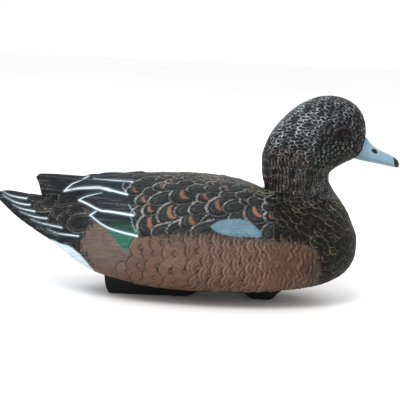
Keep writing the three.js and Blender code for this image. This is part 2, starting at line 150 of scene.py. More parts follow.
def curve(points):
    """A smooth curve through (t, value) points that never overshoots them."""
    t, v = np.array(points, float).T
    h = np.diff(t)
    slope = np.diff(v) / h
    tangent = np.empty_like(v)
    tangent[0], tangent[-1] = slope[0], slope[-1]
    before, after = slope[:-1], slope[1:]
    same = before * after > 0
    tangent[1:-1] = np.where(same, 2 * before * after / np.where(same, before + after, 1), 0)

    def at(x):
        x = np.clip(x, t[0], t[-1])
        i = np.clip(np.searchsorted(t, x, side="right") - 1, 0, len(h) - 1)
        s = (x - t[i]) / h[i]
        s2, s3 = s * s, s * s * s
        return (
            (2 * s3 - 3 * s2 + 1) * v[i]
            + (s3 - 2 * s2 + s) * h[i] * tangent[i]
            + (3 * s2 - 2 * s3) * v[i + 1]
            + (s3 - s2) * h[i] * tangent[i + 1]
        )

    return at


back, belly, widest = curve(BACK_HEIGHT), curve(BELLY_HEIGHT), curve(WIDEST_HEIGHT)
body_half = curve(BODY_HALF_WIDTH)
face, nape, head_half = curve(FACE_X), curve(NAPE_X), curve(HEAD_HALF_WIDTH)


def smooth(low, high, x):
    """0 on low's side, 1 on high's side, and a smooth step between. It falls if low is above high."""
    s = np.clip((x - low) / (high - low), 0, 1)
    return s * s * (3 - 2 * s)


def line_of(middle, width, x):
    """A soft line of unit height where x is at the middle."""
    return np.exp(-(((x - middle) / width) ** 2))


def unit(v):
    return v / np.maximum(np.linalg.norm(v, axis=-1, keepdims=True), 1e-9)


def seam_height(x):
    return SEAM_Z - (x - SWIVEL_X) * math.tan(SEAM_TILT)


def beyond(p, q, a, b, power):
    """Signed distance, along the ray from its centre, to a superellipse of half axes a and b."""
    a, b = np.maximum(a, 0.01), np.maximum(b, 0.01)
    norm = (np.abs(p / a) ** power + np.abs(q / b) ** power) ** (1 / power)
    away = np.hypot(p, q) * (1 - 1 / np.maximum(norm, 1e-6))
    return np.where(norm < 1e-6, -np.minimum(a, b), away)


def body_field(x, y, z):
    q = z - widest(x)
    tall = np.where(q > 0, back(x) - widest(x), widest(x) - belly(x))
    return beyond(y, q, body_half(x), tall, np.where(q > 0, BACK_ROUNDNESS, BELLY_ROUNDNESS))


def head_field(x, y, z):
    middle = (face(z) + nape(z)) / 2
    return beyond(x - middle, y, (face(z) - nape(z)) / 2, head_half(z), HEAD_ROUNDNESS)


def fillet(a, b, x):
    k = FLARE_AT_BACK + (FLARE_AT_BREAST - FLARE_AT_BACK) * smooth(72, 125, x)
    return np.maximum(k - np.abs(a - b), 0) ** 2 / (4 * k)


def trunk_field(x, y, z):
    """The body with the root of the neck, well past the seam that will cut it."""
    a = body_field(x, y, z)
    b = head_field(x, y, np.maximum(z, 60)) + np.maximum(60 - z, 0)
    return np.minimum(a, np.maximum(np.minimum(a, b) - fillet(a, b, x), z - seam_height(x) - 9))


def neck_field(x, y, z):
    b = head_field(x, y, z)
    return b - fillet(body_field(x, y, z), b, x)


def reach(field, far, steps=26):
    """How far along each ray the field turns positive."""
    near, far = np.zeros_like(far), far.copy()
    for _ in range(steps):
        mid = (near + far) / 2
        inside = field(mid) < 0
        near = np.where(inside, mid, near)
        far = np.where(inside, far, mid)
    return near


# ---- rough solids, then one even skin


def rings(points):
    """A closed surface from an array of rings (rings, around, 3)."""
    n, m = points.shape[:2]
    i, j = np.meshgrid(np.arange(n - 1), np.arange(m), indexing="ij")
    a, b = i * m + j, i * m + (j + 1) % m
    faces = np.stack([a, b, b + m, a + m], -1).reshape(-1, 4)
    return points.reshape(-1, 3), faces


def ring_angles(around):
    angle = np.linspace(0, 2 * np.pi, around, endpoint=False)
    return np.cos(angle)[None, :], np.sin(angle)[None, :]


def trunk(along=240, around=160):
    """The body with the root of the neck, in sections that lie closer together towards both ends."""
    u = np.linspace(0, 1, along)[:, None]
    x = 0.35 * u + 0.65 * (1 - np.cos(np.pi * u)) / 2
    x = TAIL_TIP_X + (BREAST_X - SHORT_OF_END - TAIL_TIP_X) * x
    c, s = ring_angles(around)
    x = np.broadcast_to(x, (along, around))
    r = reach(lambda r: trunk_field(x, r * c, widest(x) + r * s), np.full(x.shape, 120.0))
    r[[0, -1]] = 0
    return rings(np.stack([x, r * c, widest(x) + r * s], -1))


def head_stack(floor, along=170, around=130):
    """The head and the neck, in level sections that lie closer together towards the crown."""
    u = np.linspace(0, 1, along)[:, None]
    z = floor + (CROWN_Z - SHORT_OF_END - floor) * (1 - (1 - u) ** 1.8)
    c, s = ring_angles(around)
    z = np.broadcast_to(z, (along, around))
    middle = (face(z) + nape(z)) / 2
    r = reach(lambda r: neck_field(middle + r * c, r * s, z), np.full(z.shape, 75.0))
    r[[0, -1]] = 0
    return rings(np.stack([middle + r * c, r * s, z], -1))


def section_loft(x, offset, half, middle, above, below, power, around):
    """Superelliptic sections across X, closed at both ends."""
    c, s = ring_angles(around)
    r = 1 / (np.abs(c) ** power + np.abs(s) ** power) ** (1 / power)
    r = np.repeat(r, len(x), axis=0)
    r[[0, -1]] = 0
    x, offset, half, middle, above, below = (v[:, None] for v in (x, offset, half, middle, above, below))
    y = offset + r * half * c
    z = middle + r * np.where(s > 0, above, below) * s
    return rings(np.stack([np.broadcast_to(x, y.shape), y, z], -1))


def wing_tip(side):
    u = np.linspace(0, 1, 70)
    x = TIP_TOP[0][0] + (TIP_TOP[-1][0] - TIP_TOP[0][0]) * (u + (1 - np.cos(np.pi * u)) / 2) / 2
    top, bottom = curve(TIP_TOP)(x), curve(TIP_BOTTOM)(x)
    offset, half = side * curve(TIP_OFFSET)(x), curve(TIP_HALF_WIDTH)(x)
    tall = (top - bottom) / 2
    return section_loft(x, offset, half, (top + bottom) / 2, tall, tall, WING_TIP_ROUNDNESS, 48)


def mesh_object(name, co, faces, scale=MM):
    mesh = bpy.data.meshes.new(name)
    mesh.from_pydata((co * scale).tolist(), [], faces.tolist())
    mesh.update()
    obj = bpy.data.objects.new(name, mesh)
    bpy.context.scene.collection.objects.link(obj)
    return obj


def even_skin(solids, voxel):
    """One closed skin of even quads around all the solids, as (points, faces)."""
    parts, faces, start = [], [], 0
    for co, own_faces in solids:
        parts.append(co)
        faces.append(own_faces + start)
        start += len(co)
    rough = mesh_object("rough", np.concatenate(parts), np.concatenate(faces), 1.0)
    remesh = rough.modifiers.new("even", "REMESH")
    remesh.mode = "VOXEL"
    remesh.voxel_size = voxel
    made = rough.evaluated_get(bpy.context.evaluated_depsgraph_get()).to_mesh()
    co = np.empty(len(made.vertices) * 3)
    made.vertices.foreach_get("co", co)
    quads = np.empty(len(made.loops), np.int64)
    made.loops.foreach_get("vertex_index", quads)
    bpy.data.objects.remove(rough)
    return co.reshape(-1, 3), quads.reshape(-1, 4)


class Skin:
    """An even quad mesh with what the feathers leave on it, one value per vertex, in millimetres."""

    def __init__(self, solids, voxel, rounds=3):
        self.co, self.faces = even_skin(solids, voxel)
        around = np.concatenate([self.faces[:, [i, (i + 1) % 4]] for i in range(4)])
        self.edges = np.unique(np.sort(around, axis=1), axis=0)
        self.count = np.bincount(self.edges.ravel(), minlength=len(self.co))
        for _ in range(rounds):
            self.co += 0.5 * (self.spread(self.co) - self.co)
        a, b, c, d = (self.co[self.faces[:, i]] for i in range(4))
        across = np.cross(c - a, d - b)
        corners = self.faces.ravel()
        normal = [self.gather(corners, np.repeat(across[:, k], 4)) for k in range(3)]
        self.normal = unit(np.stack(normal, -1))
        self.tree = kdtree.KDTree(len(self.co))
        for i, p in enumerate(self.co):
            self.tree.insert(p, i)
        self.tree.balance()

    def gather(self, index, value):
        return np.bincount(index, weights=value, minlength=len(self.co))

    def spread(self, value):
        """The mean of each vertex's neighbours."""
        i, j = self.edges.T
        flat = value.reshape(len(value), -1)
        total = [self.gather(i, flat[j, k]) + self.gather(j, flat[i, k]) for k in range(flat.shape[1])]
        return (np.stack(total, -1) / self.count[:, None]).reshape(value.shape)

    def near(self, point, radius):
        return np.array([i for _, i, _ in self.tree.find_range(point, radius)], np.int64)


# ---- the side drawing

# Markings are laid out on a drawing of the decoy's side, in millimetres, as someone standing beside
# it sees it. The other side mirrors it.
DRAWING_DISTANCE = 1300
MARKINGS_FORWARD = 6
DRAWING_RISE = math.radians(8)
DRAWING_CENTRE = np.array([3.4, 0, 96.3])
DRAWING_SIGHT = np.array([0, math.cos(DRAWING_RISE), -math.sin(DRAWING_RISE)])
DRAWING_UP = np.array([0, math.sin(DRAWING_RISE), math.cos(DRAWING_RISE)])


def on_drawing(co):
    """Where points of the skin show in the side drawing: (along, up)."""
    p = co * [1, 0, 1]
    p[:, 1] = -np.abs(co[:, 1])
    p = p - DRAWING_CENTRE
    near = DRAWING_DISTANCE / (DRAWING_DISTANCE + p @ DRAWING_SIGHT)
    return DRAWING_CENTRE[0] + p[:, 0] * near, DRAWING_CENTRE[2] + (p @ DRAWING_UP) * near


def to_polyline(u, v, line):
    """Distance from drawing points to a polyline, and how far along it the nearest place is."""
    best, place, gone = np.full(len(u), 1e9), np.zeros(len(u)), 0.0
    for (x0, z0), (x1, z1) in zip(line[:-1], line[1:]):
        dx, dz = x1 - x0, z1 - z0
        length = math.hypot(dx, dz)
        t = np.clip(((u - x0) * dx + (v - z0) * dz) / length**2, 0, 1)
        away = np.hypot(u - x0 - t * dx, v - z0 - t * dz)
        nearer = away < best
        best = np.where(nearer, away, best)
        place = np.where(nearer, gone + t * length, place)
        gone += length
    return best, place, gone


def inside_outline(u, v, outline):
    """Signed distance to a closed outline on the drawing, positive inside."""
    inside = np.zeros(len(u), bool)
    for (x0, z0), (x1, z1) in zip(outline, outline[1:] + outline[:1]):
        crosses = (z0 > v) != (z1 > v)
        if z1 != z0:
            inside ^= crosses & (u < x0 + (v - z0) * (x1 - x0) / (z1 - z0))
    away = to_polyline(u, v, outline + outline[:1])[0]
    return np.where(inside, away, -away)


def rounded(points, steps=6):
    """A smooth open line through the points (Catmull-Rom)."""
    p = [np.array(q, float) for q in points]
    p = [2 * p[0] - p[1]] + p + [2 * p[-1] - p[-2]]
    line = []
    for a, b, c, d in zip(p, p[1:], p[2:], p[3:]):
        for t in np.linspace(0, 1, steps, endpoint=False):
            square = (2 * a - 5 * b + 4 * c - d) * t**2
            cube = (3 * b - a - 3 * c + d) * t**3
            q = 0.5 * (2 * b + (c - a) * t + square + cube)
            line.append((float(q[0]), float(q[1])))
    return line + [(float(p[-2][0]), float(p[-2][1]))]


# ---- feathers

# What kind of feather a place is on.
PLAIN, FLANK, SCAPULAR, SPOTTED, MANTLE, BREAST, NECK, ROW, CROWN, CHEEK, COVERT, PANEL, PATCH = range(13)

BILL_ROOT = np.array([165.0, 0.0, 158.0])
CREST = 0.45  # share of a feather's length over which its sides stay straight
DOME = 0.25  # how much more a feather stands out along its middle than at its sides
BARB_ANGLE = math.radians(32)
FAR = 9.0  # stands for a place that no feather's edge is near, in millimetres


def waves(co, size, seed, count=7):
    """Smooth noise of about unit height, with features of the given size in millimetres."""
    own = np.random.default_rng(seed)
    total = np.zeros(len(co))
    for _ in range(count):
        way = unit(own.normal(size=3)) * own.uniform(0.7, 1.4)
        total += np.sin(co @ way * (2 * np.pi / size) + own.uniform(0, 2 * np.pi))
    return total / math.sqrt(count)


def along_skin(skin, way):
    """Directions laid flat on the skin."""
    return unit(way - (way * skin.normal).sum(1, keepdims=True) * skin.normal)


def lie_of_feathers(skin, fall):
    """Which way feathers point all over the skin, away from the bill, and how far back each place is."""
    away = (skin.co - BILL_ROOT) * np.stack([np.ones_like(fall), np.ones_like(fall), fall], -1)
    return along_skin(skin, unit(away)), np.linalg.norm(away, axis=1)


def scatter(skin, mask, spacing):
    """Well spread places on the skin where the mask holds."""
    free = mask.copy()
    places = []
    for i in draw.permutation(np.flatnonzero(free)):
        if free[i]:
            places.append(i)
            free[skin.near(skin.co[i], float(spacing[i]))] = False
    return places


def lay(skin, i, way, length, half, height, kind, soft=0.9, wobble=0.25):
    """Lays one feather with its middle at vertex i, on top of what is there."""
    normal = skin.normal[i]
    side = np.cross(normal, way)
    near = skin.near(skin.co[i], math.hypot(length / 2, half) + 1.5)
    near = near[skin.normal[near] @ normal > 0.25]
    p = skin.co[near] - skin.co[i]
    along, across = p @ way + length / 2, p @ side
    t = along / length
    tip = length * (1 - CREST)
    q = np.maximum(t - CREST, 0) * length
    norm = np.hypot(q / tip, across / half)
    steep = np.hypot(q / tip**2, across / half**2) / np.maximum(norm, 1e-6)
    edge = (1 - norm) / np.maximum(steep, 1e-6) + wobble * skin.noise[near]
    inside = (edge > 0) & (t > 0)
    outside = (edge <= 0) & (edge > -3) & (t > 0.25)
    out = near[outside]
    nearer = -edge[outside] < skin.groove[out]
    skin.groove_middle[out[nearer]] = 1 - np.abs(across[outside][nearer]) / half
    skin.groove[out] = np.minimum(skin.groove[out], -edge[outside])
    on, edge, across, t = near[inside], edge[inside], across[inside], t[inside]
    bulge = 1 + DOME * (1 - (across / half) ** 2)
    skin.height[on] = height * (0.2 + 0.8 * t) * smooth(-0.2, soft, edge) * bulge
    skin.edge[on] = edge
    skin.groove[on] = FAR
    skin.across[on] = across
    skin.tip[on] = length * (1 - t)
    skin.half[on] = half
    skin.kind[on] = kind
    skin.tone[on] = draw.uniform(-1, 1)
    c, s = math.cos(BARB_ANGLE), math.sin(BARB_ANGLE)
    skin.barb[on, 0] = np.abs(across) * c - length * t * s
    skin.barb[on, 1] = np.abs(across) * s + length * t * c
    skin.barb[on, 2] = draw.uniform(0, 50)


def start_feathers(skin):
    """Gives every vertex the values that bare skin has."""
    n = len(skin.co)
    skin.noise = waves(skin.co, 3.1, 5)
    skin.height, skin.across, skin.ripple, skin.tone = np.zeros((4, n))
    skin.edge, skin.groove, skin.half = np.full((3, n), FAR)
    skin.groove_middle = np.ones(n)
    skin.tip = np.full(n, 30.0)
    skin.kind = np.full(n, PLAIN)
    skin.barb = np.stack([skin.co[:, 2] * 0.9 + skin.co[:, 1] * 0.3, skin.co[:, 0], np.zeros(n)], -1)


def clear_feathers(skin, on):
    """Takes the feathers off part of the skin."""
    skin.height[on] = 0
    skin.kind[on] = PLAIN
    skin.edge[on] = FAR
    skin.groove[on] = FAR


def lay_panel(skin, u, v, outline, height):
    """A long wing feather whose outline comes from the side drawing."""
    edge = inside_outline(u, v, outline)
    on = np.flatnonzero(edge > 0)
    skin.height[on] = height * smooth(-0.2, 1.6, edge[on])
    skin.edge[on] = edge[on]
    skin.groove[on] = FAR
    out = np.flatnonzero((edge <= 0) & (edge > -3))
    skin.groove[out] = np.minimum(skin.groove[out], -edge[out])
    skin.kind[on] = PANEL


# ---- paints (linear light)


STUDIO_GAIN = 0.55  # the white surroundings light everything strongly, so paints are this much darker


def srgb(r, g, b):
    c = np.array([r, g, b], float) / 255
    return STUDIO_GAIN * np.where(c <= 0.04045, c / 12.92, ((c + 0.055) / 1.055) ** 2.4)


def mix(base, *coats):
    """Lays (colour, amount) coats over a base colour, one after another."""
    for colour, amount in coats:
        amount = np.clip(amount, 0, 1)[..., None]
        base = base * (1 - amount) + colour * amount
    return base


FLANK_FRONT = srgb(108, 79, 62)
FLANK_MID = srgb(126, 101, 87)
FLANK_REAR = srgb(126, 109, 100)
FLANK_LOW = srgb(124, 94, 76)
CHARCOAL = srgb(50, 55, 58)
BLACKISH = srgb(17, 20, 20)
OLIVE_BLACK = srgb(21, 21, 15)
PANEL_SLATE = srgb(40, 50, 56)
RUST = srgb(88, 62, 44)
OLIVE_EDGE = srgb(92, 88, 72)
ORANGE = srgb(171, 123, 101)
PATCH_BLUE = srgb(120, 155, 172)
SPECULUM = srgb(48, 128, 108)
SPECULUM_SHADE = srgb(44, 110, 92)
VENT = 1.3 * srgb(228, 246, 254)
RIM_GREY = srgb(186, 187, 182)
RIM_WHITE = srgb(240, 248, 252)
RIM_PINK = srgb(214, 170, 156)
RIM_OLIVE = srgb(168, 163, 146)
FLANK_HIGHLIGHT = srgb(196, 160, 140)
CROWN_SLATE = srgb(38, 43, 46)
EYE_BLACK = srgb(12, 11, 11)
FACE_BLACK = srgb(14, 14, 14)
BROW = srgb(170, 122, 104)
BILL_BLUE = srgb(156, 189, 208)
BILL_ROOT_BLUE = srgb(136, 170, 190)
BILL_RIM_BLUE = srgb(176, 203, 216)
BILL_GROOVE_BLUE = srgb(112, 143, 160)
NOSTRIL_BLACK = srgb(20, 21, 22)
NAIL_BLACK = srgb(22, 23, 24)
WHITE_LINE = (0.60, 0.72, 0.78, 1.0)
WHITE_LINE_GLOW = (0.5, 0.62, 0.72, 1.0)

# ---- markings on the side drawing

ARC_SPACING = 3.9
RIDGE_SPACING = 5.0
FLANK_TOP = [
    (-115.5, 61), (-107.8, 70.4), (-99.7, 67.2), (-86.7, 62), (-64.9, 55.7), (-44, 58.5),
    (-29.8, 61), (-5.9, 62.9), (24.4, 60.8), (57.7, 59.6), (82, 59.3), (107.6, 56.6),
]
FLANK_OUTLINE = FLANK_TOP + [
    (116.7, 51.9), (119.7, 43.1), (121.5, 30.3), (119.4, 18.7), (112, -20), (-100, -20), (-104, 12),
    (-109.4, 24), (-114.4, 36.3), (-120.9, 42.3), (-120.3, 50.4),
]
VENT_OUTLINE = [
    (-152, 51), (-145.6, 48.9), (-128.3, 43), (-119.6, 36.5), (-114.2, 29.9), (-106.2, 21), (-104, 8),
    (-150, 8), (-175, 60),
]
SPECULUM_OUTLINE = [
    (-97, 64.5), (-94.5, 62), (-88.9, 56), (-84, 51), (-78.8, 45), (-73.8, 39.6), (-72.4, 43.4),
    (-70.6, 48.4), (-67.8, 56.4), (-66, 60), (-80, 64),
]
PATCH_OUTLINE = rounded([
    (8.7, 70.9), (15.5, 75.4), (23.7, 78.2), (38, 79.2), (48, 76.4), (56, 70.5), (59.9, 65.6),
    (57.7, 61.6), (47, 61.4), (33, 61.3), (18, 64.3), (11, 67.6),
])
TERTIAL_A = [
    (-138.8, 99.4), (-131.2, 106.9), (-122.7, 111.1), (-115.2, 114), (-93.1, 113.2), (-71, 112.5),
    (-50, 110), (-50, 95), (-75.5, 98.4), (-88.4, 101.1), (-101.2, 104.2), (-114, 103.8), (-126.7, 102.4),
]
TERTIAL_B = [
    (-124, 91.4), (-117.8, 94.9), (-101, 99.7), (-85, 103), (-50, 101), (-50, 77), (-68.9, 78.1),
    (-91.7, 80.8), (-102, 81.8), (-114.9, 87.7),
]
TERTIAL_C = [
    (-112, 76.7), (-106.2, 80.8), (-92, 85), (-50, 86), (-50, 57), (-64.1, 57.6), (-86.7, 62.5),
    (-99.7, 67.9),
]
UPPER_TERTIAL = [
    (-118, 140), (-118, 116), (-114.4, 113.6), (-93.1, 113.4), (-71, 112.7), (-52, 111), (-52, 140),
]
# The long feathers from below up: the outline, and how far the feather stands out.
WING_PANELS = [(TERTIAL_C, 0.9), (TERTIAL_B, 1.5), (TERTIAL_A, 2.0), (UPPER_TERTIAL, 2.3)]
# Painted lines: points that a smooth line runs through, and its width at the start, middle and end.
WHITE_LINES = [
    (TERTIAL_A[:4][::-1], 0.6, 0.9, 1.3),
    ([TERTIAL_A[0]] + TERTIAL_A[:7:-1], 1.4, 2.1, 1.6),
    ([(-109.5, 112.4), (-93.1, 112.2), (-71, 111.6)], 0.5, 1.9, 1.9),
    ([(-101, 99.7), (-109, 97.8), (-117.8, 94.9), (-124, 91.4)], 0.4, 0.8, 1.3),
    ([(-124, 91.4), (-114.9, 87.7), (-102, 81.8), (-91.7, 80.8), (-68.9, 78.1)], 1.3, 1.7, 2.2),
    ([(-106.2, 80.8), (-112, 76.7)], 1.0, 1.3, 1.6),
    ([(-112, 76.7), (-99.7, 67.9), (-86.7, 62.5), (-64.1, 57.6)], 1.1, 1.5, 2.2),
]
THIN_LINES = [
    ([(-73.8, 88.5), (-70.1, 83.5), (-66.4, 79.2)], 0.7, 0.9, 1.0),
    ([(-70.7, 74.8), (-67.9, 66.5), (-63.6, 59.4)], 0.7, 0.8, 0.9),
    ([(-79.2, 109.1), (-80, 105.1), (-76.8, 100.2)], 0.6, 0.8, 0.7),
]
FAINT_LINES = [
    ([(-66.4, 55.7), (-69.4, 47.8), (-71.6, 42), (-73.6, 38)], 0.2, 0.4, 0.4),
    ([(-92.5, 58.4), (-85.5, 50), (-79.5, 43.6), (-74.4, 38.6)], 0.3, 0.7, 0.5),
    ([(-96.5, 59), (-90, 51), (-82, 41.5)], 0.2, 0.4, 0.2),
    ([(-161.3, 61.1), (-151.5, 56.6), (-141.5, 53.4)], 0.2, 1.0, 0.6),
    ([(-120, 84), (-112, 80.5), (-107.5, 82)], 0.2, 0.6, 0.2),
]
TAIL_LINES = [
    [(-201, 97.8), (-193.8, 93.9), (-184.7, 92), (-176.2, 91.1)],
    [(-200, 93.7), (-193.6, 89.4), (-184.4, 86), (-172.7, 84.3)],
    [(-189.7, 83.8), (-182.1, 80.7), (-167.6, 78)],
    [(-182.3, 77.2), (-172.8, 74), (-163.7, 72.2), (-154.8, 71.5)],
    [(-170.8, 69.9), (-161.3, 66.7), (-140.1, 62.9)],
    [(-153.4, 60.1), (-143, 56.9), (-122.9, 55)],
]
# Feathers with places of their own: the place, the length and half the width. The scapulars that
# have an orange crescent, then the ones over the root of the tail.
SPOTS = [
    (-64.9, 105, 27, 9), (-38.1, 108.7, 27, 9), (-35.4, 118.6, 20, 6), (-56.9, 95.6, 25, 9),
    (-19.3, 101.3, 31, 13), (-50.9, 86.2, 22, 8), (-30.8, 81.9, 31, 13), (-50.7, 69.9, 30, 13),
    (-8.5, 75.8, 29, 12), (4.6, 100.3, 25, 9), (17.3, 91.2, 30, 12), (10.8, 113.3, 18, 7),
    (24.2, 108.3, 18, 7), (44.1, 97.9, 19, 7), (53.8, 86, 29, 13), (24.8, 119.5, 15, 5.5),
    (41.4, 113.1, 15, 5.5), (-13.9, 118.5, 18, 6), (46.8, 106.7, 15, 6), (69.5, 83.1, 20, 8),
    (67.9, 97.3, 15, 6),
]
TAIL_COVERTS = [
    (-166, 92, 20, 7), (-158, 84, 22, 8), (-150, 88, 24, 9), (-141, 80, 24, 9), (-138, 90, 22, 8),
    (-134, 72, 24, 9.5), (-126, 82, 22, 8), (-124, 68, 24, 10), (-146, 72, 22, 8), (-166, 84, 18, 7),
]


def nearest_line(u, v, lines, stretch=1.0):
    """Signed distance to the nearest painted line of changing width, negative inside the paint."""
    nearest = np.full(len(u), 5.0)
    for points, *widths in lines:
        away, place, whole = to_polyline(u, v, rounded(points))
        width = np.interp(place / whole, [0, 0.5, 1], widths)
        nearest = np.minimum(nearest, away * stretch - width / 2)
    return nearest


def toward_drawing(skin):
    """How squarely the skin faces someone looking at the drawing from its own side."""
    return np.abs(skin.normal[:, 1]) * DRAWING_SIGHT[1] - skin.normal[:, 2] * DRAWING_SIGHT[2]


def upness(skin):
    """Where a place lies across its own feather: 1 at the edge nearer the back, -1 at the other."""
    return skin.across * np.sign(skin.co[:, 1]) / skin.half


def facing_place(skin, u, v, place_u, place_v, side):
    """The vertex nearest to a place on the drawing, on one side and facing outwards there."""
    faces = skin.normal[:, 1] * side * DRAWING_SIGHT[1] - skin.normal[:, 2] * DRAWING_SIGHT[2]
    unseen = (np.sign(skin.co[:, 1]) != side) | (faces <= 0)
    return int(np.argmin((u - place_u) ** 2 + (v - place_v) ** 2 + 1e6 * unseen))


# A job is one feather to lay: its vertex, length, half width, height and kind.
def spotted_jobs(skin, u, v):
    """The feathers with a crescent, and the skin around them that scattered ones keep off."""
    jobs, taken = [], np.zeros(len(u), bool)
    for side in (-1, 1):
        for place_u, place_v, length, half in SPOTS:
            i = facing_place(skin, u, v, place_u, place_v, side)
            jobs.append((i, length, half, 1.25, SPOTTED))
            taken[skin.near(skin.co[i], 1.1 * half)] = True
    return jobs, taken


def scattered_jobs(skin, u, v, flank, patch, taken):
    """The small feathers of the back, the flank and the breast. They are smaller towards the front."""
    x, _, z = skin.co.T
    jobs = []
    upper = (u > -60) & (u < 75) & (v > 63) & (flank < -4) & (patch < -3)
    shoulder = smooth(20, 62, u) * smooth(96, 108, v)
    ridge_of_back = 0.75 * smooth(109, 117, v) * smooth(-50, -30, u)
    mantle = np.maximum(shoulder, ridge_of_back)
    for i in scatter(skin, upper & (x < 82) & ~taken, 12.0 - 5.8 * mantle):
        size = 1 - 0.5 * mantle[i]
        jobs.append((i, 27 * size, 8.5 * size, 1.0 * size, MANTLE if mantle[i] > 0.5 else SCAPULAR))

    front = smooth(-5, 70, u)
    on_flank = (flank > 3) & (u > -74) & (inside_outline(u, v, SPECULUM_OUTLINE) < -8)
    for i in scatter(skin, on_flank & (skin.normal[:, 2] > -0.93), 12.5 - 5.2 * front):
        size = 1 - 0.42 * front[i]
        jobs.append((i, 22 * size, 10.5 * size, 1.15 + 0.15 * front[i], FLANK))

    neck = smooth(90, 104, z)
    for i in scatter(skin, (x > 78) & (flank < -1) & (patch < -3) & ~upper, 6.6 - 2.2 * neck):
        size = 1 - 0.3 * neck[i]
        jobs.append((i, 11.5 * size, 6.4 * size, 0.75 * size, BREAST))
    return jobs


def ripple_flank(skin, u, v, flank):
    """Arcs inside each flank feather, which give way to upright wavy ridges towards the breast."""
    arc = skin.tip - skin.across**2 / (1.8 * skin.half)
    phase = 2 * np.pi * (arc + 0.35 * waves(skin.co, 7, 9)) / ARC_SPACING
    kept = smooth(0.12, 0.5, 1 - np.abs(skin.across) / skin.half) * smooth(12.5, 7, arc)
    arcs = -np.cos(phase) * kept * (skin.kind == FLANK) * (0.1 + 0.9 * smooth(-30, 10, u))
    bends = np.cos(2 * np.pi * (v + 0.45 * u + 3 * waves(skin.co, 40, 61)) / 14)
    ridges = np.cos(2 * np.pi * (u - 1.3 * bends + 1.5 * waves(skin.co, 22, 62)) / RIDGE_SPACING)
    ridges *= np.clip(0.8 + 0.5 * waves(skin.co, 11, 63), 0.2, 1)
    skin.ridge = 0.9 * smooth(64, 90, u) * smooth(0, 2, flank) * np.isin(skin.kind, [FLANK, PLAIN])
    skin.ripple = arcs * (1 - skin.ridge) + ridges * skin.ridge
    skin.height = skin.height * (1 - 0.7 * skin.ridge) + (0.4 + 0.2 * skin.ridge) * skin.ripple
    skin.groove = skin.groove + FAR * skin.ridge
    skin.edge = skin.edge + FAR * skin.ridge


def body_feathers(skin):
    """Lays all of the body's feathers and returns the drawing places and the zones."""
    start_feathers(skin)
    u, v = on_drawing(skin.co)
    u = u - MARKINGS_FORWARD
    flank = inside_outline(u, v, FLANK_OUTLINE)
    patch = inside_outline(u, v, PATCH_OUTLINE)
    vent = inside_outline(u, v, VENT_OUTLINE)
    # Feathers lie nearly level at the rear, and point down more on the wing and towards the breast.
    wing = smooth(64, 72, v) * smooth(122, 100, v) * smooth(-100, -80, u)
    fall = 0.12 + 0.95 * wing + (0.88 - 0.95 * wing) * smooth(55, 118, skin.co[:, 0])
    ways, far = lie_of_feathers(skin, fall)

    for side in (-1, 1):
        for place_u, place_v, length, half in sorted(TAIL_COVERTS):
            i = facing_place(skin, u, v, place_u, place_v, side)
            lay(skin, i, ways[i], length, half, 0.9, COVERT, soft=1.2)
    on_wing_tip = (v > 95.5) & (u > -160) & (u < -100)
    clear_feathers(skin, on_wing_tip)  # the raised tips carry no small feathers
    for outline, height in WING_PANELS:
        lay_panel(skin, u, v, outline, height)
    jobs, taken = spotted_jobs(skin, u, v)
    jobs += scattered_jobs(skin, u, v, flank, patch, taken)
    for i, length, half, height, kind in sorted(jobs, key=lambda job: -far[job[0]]):
        lay(skin, i, ways[i], length, half, height, kind)
    ripple_flank(skin, u, v, flank)

    # The blue-grey patch is one smooth raised area.
    on = patch > 0
    clear_feathers(skin, on)
    skin.height[on] = 0.9 * smooth(-0.3, 2.5, patch[on])
    skin.kind[on] = PATCH
    skin.edge[on] = patch[on]
    return u, v, flank, patch, vent


def base_coat(skin, u, v, flank, patch, vent):
    """The colours that the body's zones are sprayed with, with painted shade low on the breast."""
    x, _, z = skin.co.T
    wander = 1.2 * waves(skin.co, 14, 3)
    fringe = 1.7 * waves(skin.co * [1, 1, 0.45], 2.6, 31) * smooth(-90, -104, u)
    blurred = np.maximum(smooth(-45, -20, u) * smooth(30, 45, v), 0.7 * smooth(-100, -108, u))
    soft = 1.2 + 2.6 * blurred
    streaks = 0.8 * waves(skin.co * [1, 1, 0.25], 3.0, 33) * (soft - 1.2)
    border = flank - 0.8 * blurred + 0.4 * wander + fringe + streaks
    brown = mix(
        FLANK_MID,
        (FLANK_FRONT, smooth(20, 90, u)),
        (FLANK_REAR, smooth(-62, -84, u)),
        (FLANK_LOW, smooth(34, 12, v)),
    )
    rusty = (skin.kind == BREAST) & (skin.tone > 0.86) & (z < 94)
    olive = smooth(0, 3, flank) * smooth(9, 2, flank) * smooth(-60, -40, u)
    green = inside_outline(u, v, SPECULUM_OUTLINE) + 0.4 * wander
    bars = 0.85 + 0.15 * np.sin(2 * np.pi * (u + 0.8 * v) / 2.6)
    above = smooth(-95, -86, u) * smooth(-60, -66, u) * smooth(76, 60, v) * smooth(56, 62, v) * (flank < 2)
    frayed = patch + 0.6 * waves(skin.co * [0.5, 1, 1], 2.4, 17) * smooth(10, 45, u)
    colour = mix(
        CHARCOAL,
        (OLIVE_BLACK, smooth(62, 80, x)),
        (BLACKISH, smooth(-112, -122, u) * 0.6),
        (PANEL_SLATE, 0.8 * (skin.kind == PANEL)),
        (RUST, 0.3 * rusty),
        (brown, smooth(-soft, soft, border) * (skin.kind != PANEL)),
        (OLIVE_EDGE, 0.5 * olive),
        (SPECULUM, smooth(-1.2, 1.5, green) * bars),
        (SPECULUM_SHADE, 0.75 * above),
        (PATCH_BLUE, smooth(-0.6, 0.6, frayed)),
        (VENT, smooth(-0.8, 1.2, vent + 0.3 * wander)),
    )
    # Each feather's own tone varies at random; painted shade darkens the lower front of the breast, which
    # faces down.
    tone = 1 + 0.10 * skin.tone * (skin.kind != PANEL) - 0.4 * smooth(75, 45, z) * smooth(95, 115, x)
    return colour * tone[:, None]


